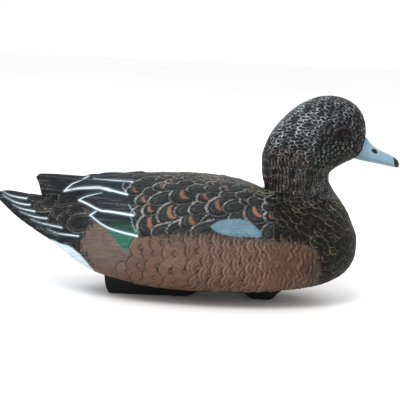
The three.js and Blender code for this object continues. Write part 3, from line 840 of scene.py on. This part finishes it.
def orange_crescents(skin, colour):
    """Adds the crescent on each spotted feather, and on some of the mantle's."""
    dotted = (skin.kind == MANTLE) & (skin.tone > 0.35)
    side = np.sign(skin.co[:, 1])
    size = skin.half / 12
    lean = skin.across - 0.25 * side * (skin.tip - 14 * size)
    outer = np.hypot(skin.tip - 17.5 * size, lean) - 6.9 * size
    inner = np.hypot(skin.tip - 21.6 * size, lean + 0.8 * side) - 6.9 * size
    crescent = np.where((skin.kind == SPOTTED) | dotted, np.maximum(outer, -inner), 5.0)
    strength = 0.8 + 0.2 * skin.tone - 0.25 * dotted
    rough_edge = crescent + 0.3 * waves(skin.co, 2.5, 11)
    return mix(colour, (ORANGE, strength * smooth(0.5, -0.7, rough_edge)))


def touch(light, tint, where, amount):
    """Adds pale colour, dry paint and painted highlight alike: the tint where it is to show, and at least
    this much of it.
    """
    light[:, :3] = mix(light[:, :3], (tint, where))
    light[:, 3] = np.maximum(light[:, 3], amount)


def pale_edges_and_highlights(skin, u, v, flank, vent, upper_edge, middle):
    """Pale paint on the feathers' raised edges, with painted highlight on the flank feathers' edges and on
    the flank's ripples: its colour, and how much of it there is.
    """
    x, _, z = skin.co.T
    light = np.zeros((len(x), 4))
    patchy = 0.75 + 0.35 * waves(skin.co, 16, 21)
    tip_only = smooth(0.0, 0.35, middle)
    for kind, tint, width, strength in (
        (SPOTTED, RIM_GREY, 1.0 + 1.7 * upper_edge, 0.45 + 0.6 * upper_edge),
        (SCAPULAR, RIM_GREY, 0.7 + 1.0 * upper_edge, 0.35 + 0.6 * upper_edge),
        (MANTLE, RIM_OLIVE * 1.7, 1.2, 0.3 + 0.7 * tip_only),
        (BREAST, RIM_OLIVE, 0.8, tip_only * (0.62 + 0.35 * skin.tone)),
        (COVERT, RIM_OLIVE * 1.1, 0.9, 0.9),
        # The flank feathers' pale edges are painted highlight on their raised edges.
        (FLANK, FLANK_HIGHLIGHT, 1.3, (0.3 + 0.35 * smooth(20, 70, u)) * tip_only),
    ):
        on = skin.kind == kind
        band = smooth(-0.1, 0.4, skin.edge) * smooth(width + 0.6, width - 0.4, skin.edge)
        light[on, :3] = tint
        light[on, 3] = np.clip(strength * band * patchy, 0, 1)[on]

    inner_line = line_of(5.4, 0.55, skin.edge) * upper_edge * (skin.half > 8)
    inner_line *= np.isin(skin.kind, [SPOTTED, SCAPULAR]) * np.clip(patchy - 0.3, 0, 1)
    light[:, 3] = np.maximum(light[:, 3], 0.4 * inner_line)
    streaks = smooth(0.5, 1.6, waves(np.stack([0.05 * u, v, 0.3 * v], -1), 2.6, 51))
    sleek = np.isin(skin.kind, [PANEL, PLAIN]) * (u < -40) * (light[:, 3] < 0.1)
    touch(light, RIM_GREY, sleek, 0.28 * streaks * (flank < -2) * (vent < -2) * sleek)
    inside_covert = line_of(3.4, 0.5, skin.edge) * (skin.kind == COVERT)
    touch(light, RIM_OLIVE, inside_covert > 0.05, 0.35 * inside_covert * patchy)
    # Painted shade: less pale paint low on the breast, which faces down.
    light[:, 3] *= 1 - 0.45 * smooth(70, 45, z) * smooth(80, 100, x)
    light[:, 3] *= 1 - 0.75 * smooth(-10, -60, u) * (skin.kind == FLANK)
    # Painted highlight on the crests of the flank's ripples.
    touch(light, FLANK_HIGHLIGHT, np.abs(skin.ripple) > 0.02, 0.45 * smooth(0.3, 1.0, skin.ripple))
    return light


def dark_wash(skin, u, upper_edge):
    """Painted shade in the grooves round the feathers and in the troughs of the flank's ripples, and a
    dark band painted inside the pale rim of the spotted feathers and the scapulars.
    """
    on_flank = skin.kind == FLANK
    deep = np.where(on_flank, smooth(0.2, 0.6, skin.groove_middle), 1)
    width = np.where(on_flank, 0.5 + 2.1 * skin.groove_middle, 1.6)
    wash = 0.95 * smooth(width, 0.3 * width, skin.groove) * deep
    wash += (0.55 + 0.2 * skin.ridge) * smooth(0.1, 0.9, -skin.ripple)
    pit = np.abs(np.hypot(skin.tip - 12.3, skin.across) - 2.7)
    # Painted shade in the crescent groove near each flank feather's tip.
    wash += 0.9 * smooth(1.0, 0.3, pit) * smooth(13.8, 12, skin.tip) * on_flank * smooth(50, 10, u)
    rim = 1.0 + 1.7 * upper_edge
    inside_rim = smooth(rim, rim + 0.8, skin.edge) * smooth(rim + 3.2, rim + 1.6, skin.edge)
    return wash + inside_rim * (0.8 * (skin.kind == SPOTTED) + 0.5 * (skin.kind == SCAPULAR))


def paint_body(skin, u, v, flank, patch, vent):
    """Base coat, crescents, dry paint with painted highlights, painted shade and white lines, one value
    per vertex.
    """
    up = upness(skin)
    upper_edge = smooth(-0.6, 0.3, up)
    skin.paint = orange_crescents(skin, base_coat(skin, u, v, flank, patch, vent))
    skin.wash = dark_wash(skin, u, upper_edge)
    skin.light = pale_edges_and_highlights(skin, u, v, flank, vent, upper_edge, 1 - np.abs(up))
    # Lines are kept from spreading where the skin turns away from the drawing.
    grazing = np.maximum(1, 0.4 / np.maximum(toward_drawing(skin), 0.1))
    tail_lines = [(points, 0.2, 0.85, 1.2) for points in TAIL_LINES]
    skin.white = nearest_line(u, v, WHITE_LINES + tail_lines, grazing)
    thin = nearest_line(u, v, THIN_LINES)
    touch(skin.light, RIM_WHITE, thin < 1, 0.6 * smooth(0.5, -0.3, thin))
    faint = nearest_line(u, v, FAINT_LINES, grazing)
    touch(skin.light, RIM_GREY, faint < 1, 0.4 * smooth(0.5, -0.3, faint))


EYE_X = 140
EYE_Z = 170
EYE_HALF_LONG = 6.0
EYE_HALF_TALL = 4.2


def eye_oval(skin):
    """How far out a place is from the eye, in sizes of the dark oval around it, on both sides."""
    x, y, z = skin.co.T
    oval = np.hypot((x - EYE_X) / EYE_HALF_LONG, (z - EYE_Z) / EYE_HALF_TALL)
    return np.where(np.abs(y) > 12, oval, FAR)


def hindneck_rows(skin):
    """The rows of long feathers round the back of the neck, found from a ring outside it."""
    jobs = []
    ring = 45
    for z_row in np.arange(147, 110, -8.4):
        middle = float(face(z_row) + nape(z_row)) / 2
        for angle in np.radians(np.arange(-84, 85, 6.6)):
            x, y = middle - ring * math.cos(angle), ring * math.sin(angle)
            i = skin.tree.find((x, y, z_row + 1.6 * math.sin(5 * angle)))[1]
            jobs.append((i, 12.5, 1.9, ROW))
    return jobs


def head_feathers(skin):
    """Lays the small feathers of the head and the neck."""
    start_feathers(skin)
    x, _, z = skin.co.T
    ways, far = lie_of_feathers(skin, np.ones(len(x)))
    down = along_skin(skin, np.array([[0.12, 0, -1.0]]))
    neck = smooth(143, 130, z)
    ways = unit(ways * (1 - neck[:, None]) + down * neck[:, None])
    cheek = smooth(108, 126, x) * smooth(182, 170, z)
    crown = (1 - cheek) * smooth(133, 140, z)
    eye = eye_oval(skin)
    jobs = []
    on_rows = (x < 97) & (z < 143) & (z > 112)
    for i in scatter(skin, (z > 92) & (eye > 1) & ~on_rows, 3.8 - 0.5 * cheek - 0.4 * neck):
        length = 8.4 - 2.8 * cheek[i] + 5.4 * neck[i]
        half = 2.35 - 0.3 * cheek[i] - 0.45 * neck[i]
        kind = NECK if neck[i] > 0.5 else CROWN if crown[i] > 0.5 else CHEEK
        jobs.append((i, length, half, kind))
    jobs += hindneck_rows(skin)
    for i, length, half, kind in sorted(jobs, key=lambda job: -far[job[0]]):
        way = down[i] if kind == ROW else ways[i]
        lay(skin, i, way, length, half, 0.55, kind, soft=0.6, wobble=0.2)
    skin.height += 0.5 * line_of(1.5, 0.22, eye) - 0.4 * smooth(1.3, 0.8, eye)


def paint_head(skin):
    """Black base coat, the pale net of dry paint over the head and the neck, and painted shade in the
    grooves.
    """
    x, y, z = skin.co.T
    eye = eye_oval(skin)
    near_bill = smooth(6.5, 2.5, np.hypot(x - 164.5, (z - 155) * 0.55)) * (np.abs(y) < 17)
    colour = mix(BLACKISH, (CROWN_SLATE, smooth(150, 185, z) * smooth(140, 110, x)))
    colour = colour * (1 + 0.2 * skin.tone)[:, None]
    skin.paint = mix(colour, (EYE_BLACK, smooth(1.3, 1.0, eye)), (FACE_BLACK, near_bill))

    tip_only = smooth(0.1, 0.45, 1 - np.abs(upness(skin)))
    at_tip = smooth(3.2, 1.4, skin.tip)
    back = smooth(124, 100, x) * smooth(140, 160, z)
    crest = smooth(160, 188, z + 0.35 * (120 - x))
    forward = 0.6 + 0.4 * smooth(150, 112, x)
    on_row, on_neck, on_cheek, on_crown = (skin.kind == kind for kind in (ROW, NECK, CHEEK, CROWN))
    strength = (
        on_row * (0.35 + 0.6 * at_tip)
        + on_neck * 0.38
        + on_cheek * 0.55 * tip_only * at_tip
        + on_crown * forward * (0.14 + 0.42 * at_tip + 0.3 * back + 0.22 * crest)
    )
    brow = line_of(1.55, 0.2, eye) * smooth(168, 171, z)
    tint = mix(
        RIM_GREY,
        (RIM_WHITE, np.maximum(crest, back)),
        (RIM_PINK, 0.9 * at_tip * on_row),
        (RIM_PINK, 0.5 * smooth(165, 150, z) * on_crown * smooth(110, 95, x)),
        (BROW, brow),
    )
    patchy = np.clip(0.75 + 0.45 * waves(skin.co, 11, 41) + 0.3 * skin.tone, 0.1, 1.3)
    band = smooth(-0.1, 0.25, skin.edge) * smooth(1.25, 0.6, skin.edge)
    clear = (1 - 0.8 * smooth(2.2, 1.1, eye)) * (1 - near_bill)
    alpha = np.maximum(np.clip(band * strength * patchy * clear, 0, 1), 0.2 * brow)
    skin.light = np.concatenate([tint, alpha[:, None]], 1)
    # Painted shade in the grooves between the head's feathers.
    skin.wash = 0.7 * smooth(1.2, 0.2, skin.groove)
    skin.white = np.full(len(x), 5.0)


def finish_relief(skin, fade, sink):
    """Moves the skin out by the feathers' softened height, less a mean height, and less near the seam."""
    height = skin.height * fade
    for _ in range(2):
        height = height + 0.5 * (skin.spread(height) - height)
    skin.final = skin.co + skin.normal * (height - sink * fade)[:, None]


# ---- from skins to objects


def shade_smooth(mesh):
    mesh.polygons.foreach_set("use_smooth", np.ones(len(mesh.polygons), bool))
    mesh.update()


def finish_mesh(obj, material):
    shade_smooth(obj.data)
    obj.data.materials.append(material)


def opaque(colour):
    return np.concatenate([colour, np.ones((len(colour), 1))], 1)


def add_attribute(mesh, name, kind, values):
    made = mesh.attributes.new(name, kind, "POINT")
    key = {"FLOAT": "value", "FLOAT_VECTOR": "vector", "FLOAT_COLOR": "color"}[kind]
    made.data.foreach_set(key, np.ascontiguousarray(values, np.float32).ravel())


def skin_object(name, skin, faces, material):
    """An object from some of the skin's faces, with the paint on its vertices."""
    used, faces = np.unique(faces, return_inverse=True)
    obj = mesh_object(name, skin.final[used], faces.reshape(-1, 4))
    mesh = obj.data
    add_attribute(mesh, "paint", "FLOAT_COLOR", opaque(skin.paint[used]))
    add_attribute(mesh, "light", "FLOAT_COLOR", skin.light[used])
    add_attribute(mesh, "wash", "FLOAT", skin.wash[used])
    add_attribute(mesh, "white", "FLOAT", skin.white[used])
    add_attribute(mesh, "barb", "FLOAT_VECTOR", skin.barb[used])
    finish_mesh(obj, material)
    return obj


PLATE_X = 12
PLATE_HALF_LONG = 90
PLATE_HALF_WIDE = 36
PLATE_ROUNDNESS = 2.6
PLATE_TOP_Z = 36  # higher places are not on the belly, so they count as far outside
PLATE_GAP = 0.35


def beyond_plate(co):
    """Signed distance in plan from the belly plate's outline, and the way out of it."""
    size, power = np.array([PLATE_HALF_LONG, PLATE_HALF_WIDE]), PLATE_ROUNDNESS
    p = (co[:, :2] - [PLATE_X, 0]) / size
    norm = np.maximum((np.abs(p) ** power).sum(1) ** (1 / power), 1e-6)
    way = np.sign(p) * np.abs(p) ** (power - 1) / size * norm[:, None] ** (1 - power)
    steep = np.maximum(np.linalg.norm(way, axis=1), 1e-6)
    away = np.where(co[:, 2] < PLATE_TOP_Z, (norm - 1) / steep, 99)
    return away, way / steep[:, None]


def mark_plate(skin):
    """Moves the skin's points near the plate's outline onto it, marks the joint, and finds its faces."""
    away, way = beyond_plate(skin.co)
    close = np.abs(away) < 0.52 * BODY_VOXEL
    skin.co[close, :2] -= away[close, None] * way[close]
    away, _ = beyond_plate(skin.co)
    skin.height -= 0.5 * smooth(1.6, 0.2, np.abs(away))
    skin.wash = np.maximum(skin.wash, 0.8 * smooth(1.4, 0.2, np.abs(away)))
    return (away[skin.faces] < 0.05).all(axis=1)


def turn_edge_in(obj, narrow):
    """Gives an open piece a wall along its edge, running into the body, and narrows the piece a little."""
    work = bmesh.new()
    work.from_mesh(obj.data)
    rim = [e for e in work.edges if e.is_boundary]
    for v in {v for e in rim for v in e.verts}:
        way = beyond_plate(np.array([v.co]) / MM)[1][0]
        v.co.x -= narrow * way[0] * MM
        v.co.y -= narrow * way[1] * MM
    made = bmesh.ops.extrude_edge_only(work, edges=rim)["geom"]
    for v in made:
        if isinstance(v, bmesh.types.BMVert):
            v.co.z += WALL * MM
    work.to_mesh(obj.data)
    work.free()
    shade_smooth(obj.data)


def near_the_neck(work):
    """The body's mesh around the neck, because the seam's plane would cut the back behind it too."""
    faces = []
    for f in work.faces:
        middle = f.calc_center_median() / MM
        if middle.x > NAPE_X_ON_SEAM and middle.z > NECK_ROOT_Z:
            faces.append(f)
    return list({v for f in faces for v in f.verts}) + list({e for f in faces for e in f.edges}) + faces


def cut_at_seam(obj, keep_above, gap, depth, mouth, bottom):
    """Cuts the piece on the tilted seam and closes it with a flat rim around a recess.

    mouth and bottom turn an arm, from the seam's middle to its edge, into the recess's own arms.
    """
    up = Vector((math.sin(SEAM_TILT), 0, math.cos(SEAM_TILT)))
    point = Vector((SWIVEL_X, 0, SEAM_Z)) * MM + up * gap * MM
    work = bmesh.new()
    work.from_mesh(obj.data)
    everything = list(work.verts) + list(work.edges) + list(work.faces)
    bmesh.ops.bisect_plane(
        work, geom=everything if keep_above else near_the_neck(work), plane_co=point, plane_no=up,
        dist=1e-7, clear_inner=keep_above, clear_outer=not keep_above,
    )
    rim = [
        e for e in work.edges
        if e.is_boundary and all(abs((v.co - point).dot(up)) < 0.02 * MM for v in e.verts)
    ]
    into = up * (depth if keep_above else -depth) * MM
    lip, floor = {}, {}
    for v in {v for edge in rim for v in edge.verts}:
        arm = v.co - point
        arm -= up * arm.dot(up)
        v.co = point + arm
        lip[v] = work.verts.new(point + mouth(arm / MM) * MM, v)
        floor[v] = work.verts.new(point + into + bottom(arm / MM) * MM, v)
    for edge in rim:
        a, b = edge.verts
        for loop in edge.link_faces[0].loops:
            if loop.edge == edge:
                a, b = loop.link_loop_next.vert, loop.vert
        work.faces.new((a, b, lip[b], lip[a]))
        work.faces.new((lip[a], lip[b], floor[b], floor[a]))
    bottom_edges = {e for v in floor.values() for e in v.link_edges if e.is_boundary}
    bmesh.ops.holes_fill(work, edges=list(bottom_edges), sides=0)
    bmesh.ops.triangulate(work, faces=[f for f in work.faces if len(f.verts) > 4])
    work.to_mesh(obj.data)
    work.free()
    shade_smooth(obj.data)


# ---- materials


class Paint:
    """A small helper around one material's node tree."""

    def __init__(self, name):
        self.material = bpy.data.materials.new(name)
        self.material.use_nodes = True
        self.tree = self.material.node_tree
        self.shader = self.tree.nodes["Principled BSDF"]

    def set(self, **values):
        for key, value in values.items():
            self.shader.inputs[key.replace("_", " ")].default_value = value
        return self

    def node(self, kind, inputs=(), **settings):
        made = self.tree.nodes.new("ShaderNode" + kind)
        for key, value in settings.items():
            setattr(made, key, value)
        for key, value in dict(inputs).items():
            socket = made.inputs[key]
            if isinstance(value, bpy.types.NodeSocket):
                self.tree.links.new(value, socket)
            else:
                socket.default_value = value
        return made

    def place(self):
        return self.node("TexCoord").outputs["Object"]

    def attribute(self, name, output="Fac"):
        return self.node("Attribute", attribute_name=name).outputs[output]

    def noise(self, scale, detail=3.0, vector=None, roughness=0.55):
        inputs = {"Vector": vector or self.place(), "Scale": scale}
        inputs |= {"Detail": detail, "Roughness": roughness}
        return self.node("TexNoise", inputs).outputs["Fac"]

    def span(self, value, low, high, to_low=0.0, to_high=1.0, kind="SMOOTHSTEP"):
        inputs = {"Value": value, "From Min": low, "From Max": high, "To Min": to_low, "To Max": to_high}
        return self.node("MapRange", inputs, interpolation_type=kind).outputs["Result"]

    def math(self, operation, a, b=0.0):
        return self.node("Math", {0: a, 1: b}, operation=operation).outputs[0]

    def blend(self, factor, a, b, how="MIX"):
        made = self.node("Mix", data_type="RGBA", blend_type=how)
        for key, value in ((0, factor), (6, a), (7, b)):
            if isinstance(value, bpy.types.NodeSocket):
                self.tree.links.new(value, made.inputs[key])
            else:
                made.inputs[key].default_value = value
        return made.outputs[2]

    def shade(self, colour, value):
        """The colour times a grey value."""
        grey = self.node("CombineColor", {"Red": value, "Green": value, "Blue": value}).outputs[0]
        return self.blend(1.0, colour, grey, "MULTIPLY")

    def link(self, output, name):
        self.tree.links.new(output, self.shader.inputs[name])

    def bump(self, height, distance, strength=1.0):
        inputs = {"Height": height, "Distance": distance, "Strength": strength}
        self.link(self.node("Bump", inputs).outputs["Normal"], "Normal")


def colour4(rgb):
    return (float(rgb[0]), float(rgb[1]), float(rgb[2]), 1.0)


def plumage():
    """Hand-painted moulded feathers: base coat, painted shade in grooves, dry-brushed edges with painted
    highlights, white lines.
    """
    paint = Paint("painted_plumage").set(Specular_IOR_Level=0.11)
    colour = paint.attribute("paint", "Color")
    barb = paint.attribute("barb", "Vector")
    stretch = {"Vector": barb, "Scale": (0.75, 0.07, 1.0)}
    stretched = paint.node("Mapping", stretch, vector_type="POINT").outputs[0]
    barbs = paint.noise(1.0, 3.0, stretched, 0.6)
    mottle = paint.noise(150.0, 4.0)
    fine = paint.noise(900.0, 2.0)
    colour = paint.shade(colour, paint.span(mottle, 0.25, 0.75, 0.84, 1.18, "LINEAR"))
    colour = paint.shade(colour, paint.span(barbs, 0.25, 0.75, 0.72, 1.3, "LINEAR"))
    colour = paint.blend(paint.span(barbs, 0.55, 0.75, 0.0, 0.14), colour, colour4(RIM_GREY))
    # Darkens the colour: painted shade in the grooves and troughs, a dark band inside some rims, and the
    # plate's joint line.
    shade_amount = paint.math("MULTIPLY", paint.attribute("wash"), paint.span(mottle, 0.2, 0.6, 0.6, 1.0))
    dark = paint.shade(colour, 0.22)
    colour = paint.blend(shade_amount, colour, dark)
    pebble = paint.span(paint.noise(680.0, 3.0), 0.38, 0.56, 0.12, 1.0)
    caught = paint.math("MULTIPLY", paint.attribute("light", "Alpha"), pebble)
    colour = paint.blend(caught, colour, paint.attribute("light", "Color"))
    line = paint.span(paint.attribute("white"), 0.45, -0.35)
    # A faint painted glow spreads round each white line.
    line_glow = paint.span(paint.attribute("white"), 2.2, 0.2, 0.0, 0.12)
    colour = paint.blend(line_glow, colour, WHITE_LINE_GLOW)
    colour = paint.blend(line, colour, WHITE_LINE)
    paint.link(colour, "Base Color")
    paint.link(paint.span(mottle, 0.3, 0.7, 0.5, 0.68), "Roughness")
    relief = paint.math("ADD", barbs, paint.math("MULTIPLY", fine, 0.5))
    paint.bump(relief, 0.0005, 0.7)
    return paint.material


def bill_paint():
    paint = Paint("painted_bill").set(Specular_IOR_Level=0.25)
    colour = paint.attribute("paint", "Color")
    mottle = paint.noise(220.0, 4.0)
    colour = paint.shade(colour, paint.span(mottle, 0.25, 0.75, 0.9, 1.1, "LINEAR"))
    paint.link(colour, "Base Color")
    paint.link(paint.span(mottle, 0.3, 0.7, 0.42, 0.6), "Roughness")
    paint.bump(paint.noise(700.0, 2.0), 0.0002, 0.5)
    return paint.material


def plain_finish(name, low, high, scale, rough, metallic=0.0, bump=0.0002, specular=0.5):
    """A finish that wanders between two colours and two roughnesses."""
    paint = Paint(name).set(Metallic=metallic, Specular_IOR_Level=specular)
    cloud = paint.noise(scale, 5.0)
    grain = paint.noise(scale * 9, 3.0)
    colour = paint.blend(paint.span(cloud, 0.3, 0.7), colour4(srgb(*low)), colour4(srgb(*high)))
    paint.link(colour, "Base Color")
    paint.link(paint.span(grain, 0.3, 0.7, *rough), "Roughness")
    paint.bump(grain, bump, 0.6)
    return paint.material


# ---- bill, eyes, keel


NOSTRIL_X = 173.6
NOSTRIL_Z = 153.4
NOSTRIL_TILT = math.radians(-28)
LIPS = [(150, 149), (165, 146.8), (180, 143.6), (192, 141.6), (200, 141.2)]


def bill(material):
    """The bill, with dented nostrils, the line between its halves and a black nail."""
    u = np.linspace(0, 1, 110)
    x = BILL_TOP[0][0] + (BILL_TOP[-1][0] - BILL_TOP[0][0]) * (1 - (1 - u) ** 1.7)
    top, bottom, half = curve(BILL_TOP)(x), curve(BILL_BOTTOM)(x), curve(BILL_HALF_WIDTH)(x)
    middle = bottom + 0.42 * (top - bottom)
    sizes = np.zeros(len(x)), half, middle, top - middle, middle - bottom
    co, faces = section_loft(x, *sizes, BILL_ROUNDNESS, 72)
    x, y, z = co.T
    c, s = math.cos(NOSTRIL_TILT), math.sin(NOSTRIL_TILT)
    forward, up = x - NOSTRIL_X, z - NOSTRIL_Z
    nostril = np.hypot((forward * c + up * s) / 3.3, (up * c - forward * s) / 1.9)
    dent = smooth(1.25, 0.6, nostril) * 1.1
    rim = line_of(1.55, 0.35, nostril) * 0.35
    groove = line_of(curve(LIPS)(x), 0.5, z) * smooth(197, 192, x) * 0.3
    colour = mix(
        BILL_BLUE,
        (BILL_ROOT_BLUE, smooth(172, 162, x) * 0.8),
        (BILL_RIM_BLUE, rim * 2.2),
        (BILL_GROOVE_BLUE, groove * 1.5),
        (NOSTRIL_BLACK, smooth(1.12, 0.95, nostril) * (np.abs(y) > 3)),
        (NAIL_BLACK, smooth(-0.4, 0.4, x + (z - 147) * 0.23 - 192.6)),
    )
    co[:, 1] -= np.sign(y) * (dent - rim + groove) * smooth(2, 5, np.abs(y))
    obj = mesh_object("bill", co, faces)
    add_attribute(obj.data, "paint", "FLOAT_COLOR", opaque(colour))
    finish_mesh(obj, material)
    return obj


def smooth_copy(node, name, voxel, rounds, material):
    """An evenly meshed copy of a CAD node, with its sharp edges softened as moulding leaves them."""
    work = bmesh.new()
    work.from_mesh(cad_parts[node].data)
    bmesh.ops.remove_doubles(work, verts=work.verts, dist=1e-6)
    bmesh.ops.triangulate(work, faces=work.faces)
    work.verts.index_update()
    co = np.array([v.co for v in work.verts]) / MM
    faces = np.array([[v.index for v in f.verts] for f in work.faces])
    work.free()
    skin = Skin([(co, faces)], voxel, rounds)
    obj = mesh_object(name, skin.co, skin.faces)
    finish_mesh(obj, material)
    return obj


# ---- putting it together


def finish_piece(obj, body, slot, *nodes):
    """Puts a piece on its CAD body, in place of the nodes that it stands for."""
    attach(obj, body)
    if nodes:
        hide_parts(*nodes)


def socket_ring(arm):
    """On the body's seam: every direction meets the round socket."""
    return arm.normalized() * SPIGOT_R


def inward(arm, by):
    """Under the head: a ring that runs at an even distance inside the rim."""
    return arm * (1 - by / max(arm.length, by + 1))


def body_and_plate(material):
    """The body and the plate under it, parted from one skin so that their feathers and paint meet."""
    skin = Skin([trunk(), wing_tip(-1), wing_tip(1)], BODY_VOXEL)
    zones = body_feathers(skin)
    paint_body(skin, *zones)
    x, z = skin.co[:, 0], skin.co[:, 2]
    near_seam = smooth(66, 70, x) * smooth(-4, -1, z - seam_height(x))
    on_plate = mark_plate(skin)
    finish_relief(skin, 1 - near_seam, BODY_SINK)
    body = skin_object("body_feathered", skin, skin.faces[~on_plate], material)
    turn_edge_in(body, 0.0)
    plate = skin_object("belly_plate_painted", skin, skin.faces[on_plate], material)
    turn_edge_in(plate, PLATE_GAP)
    finish_piece(plate, "hull", "belly_plastic", "belly_plate")
    cut_at_seam(body, False, 0.0, SOCKET_DEPTH, socket_ring, socket_ring)
    finish_piece(body, "hull", "body_plastic", "body_shell")


def head_piece(material):
    skin = Skin([head_stack(SEAM_Z - 12)], HEAD_VOXEL)
    head_feathers(skin)
    paint_head(skin)
    rise = skin.co[:, 2] - seam_height(skin.co[:, 0])
    finish_relief(skin, smooth(1, 4, rise), HEAD_SINK)
    head = skin_object("head_feathered", skin, skin.faces, material)
    lip, bottom = partial(inward, by=HEAD_RIM), partial(inward, by=HEAD_RECESS_IN)
    cut_at_seam(head, True, SEAM_GAP, HEAD_RECESS_UP, lip, bottom)
    finish_piece(head, "head", "head_plastic", "head_shell")


def keel_piece(material):
    keel = smooth_copy("keel", "keel_moulded", KEEL_VOXEL, 2, material)
    finish_piece(keel, "hull", "keel_plastic", "keel")


def finish_nodes(material, *names):
    """Gives CAD nodes that keep their own shapes a better material."""
    for name in names:
        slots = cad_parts[name].data.materials
        slots.clear()
        slots.append(material)


plumage_paint = plumage()
body_and_plate(plumage_paint)
head_piece(plumage_paint)
finish_piece(bill(bill_paint()), "head", "head_plastic")

black_plastic = plain_finish(
    "keel_satin_black", (22, 24, 24), (16, 18, 18), 90.0, (0.42, 0.6), specular=0.2
)
keel_piece(black_plastic)
finish_nodes(black_plastic, "neck_hub")
eye_gloss = plain_finish(
    "eye_gloss", (26, 18, 14), (16, 13, 12), 400.0, (0.1, 0.16), bump=0.00002, specular=0.2
)
finish_nodes(eye_gloss, "eye_right", "eye_left")
rubber = plain_finish("seal_rubber", (26, 26, 26), (34, 34, 34), 300.0, (0.7, 0.85))
finish_nodes(rubber, "neck_seal_ring")
brass = plain_finish("brass", (196, 162, 92), (176, 142, 78), 300.0, (0.26, 0.42), 1.0)
finish_nodes(brass, "threaded_insert")
steel = plain_finish("stainless", (196, 198, 200), (176, 178, 181), 300.0, (0.24, 0.4), 1.0)
finish_nodes(steel, "flat_washer", "wave_washer", "head_bolt")
iron = plain_finish("ballast_iron", (84, 82, 80), (60, 56, 54), 160.0, (0.6, 0.8), 1.0)
finish_nodes(iron, "rear_ballast", "front_ballast")
black_steel = plain_finish(
    "black_screws", (26, 27, 28), (18, 19, 20), 300.0, (0.35, 0.5), specular=0.25
)
finish_nodes(black_steel, *(f"keel_screw_{number}" for number in range(1, 5)))

# ---- stage, light and camera


def white_floor():
    bpy.ops.mesh.primitive_plane_add(size=14)
    plane = bpy.context.object
    plane.name = "floor"
    paint = Paint("floor_white").set(Roughness=0.9, Specular_IOR_Level=0.1)
    cloud = paint.span(paint.noise(3.0, 2.0), 0.3, 0.7, 0.93, 0.95)
    paint.link(paint.shade((1.0, 1.0, 1.0, 1.0), cloud), "Base Color")
    plane.data.materials.append(paint.material)


def soft_light(name, place, size, power):
    data = bpy.data.lights.new(name, "AREA")
    data.shape = "DISK"
    data.size = size
    data.energy = power
    light = bpy.data.objects.new(name, data)
    light.location = place
    light.rotation_euler = (Vector((0, 0, 0.08)) - Vector(place)).to_track_quat("-Z", "Y").to_euler()
    bpy.context.scene.collection.objects.link(light)


def stage():
    white_floor()
    world = bpy.data.worlds.new("studio")
    world.use_nodes = True
    world.node_tree.nodes["Background"].inputs["Color"].default_value = (1, 1, 1, 1)
    world.node_tree.nodes["Background"].inputs["Strength"].default_value = 1.02
    bpy.context.scene.world = world
    soft_light("key", place=(-0.5, -1.4, 2.0), size=1.2, power=34)
    soft_light("fill", place=(1.2, 1.6, 1.6), size=1.4, power=14)


CAMERA_ROLL = math.radians(2.4336)
CAMERA_LENS = 117


def camera():
    """Side-on, a little above, with the slight tilt that the decoy stands at."""
    c, s = math.cos(CAMERA_ROLL), math.sin(CAMERA_ROLL)
    sight, level, rise = Vector(DRAWING_SIGHT), Vector((1, 0, 0)), Vector(DRAWING_UP)
    right = level * c + rise * s
    up = rise * c - level * s
    data = bpy.data.cameras.new("camera")
    data.lens = CAMERA_LENS
    data.sensor_width = 36
    eye = bpy.data.objects.new("camera", data)
    turn = Matrix((right, up, -sight)).transposed().to_4x4()
    eye.matrix_world = Matrix.Translation((Vector(DRAWING_CENTRE) - sight * DRAWING_DISTANCE) * MM) @ turn
    bpy.context.scene.collection.objects.link(eye)
    bpy.context.scene.camera = eye


stage()
camera()
bpy.context.scene.view_settings.view_transform = "Standard"
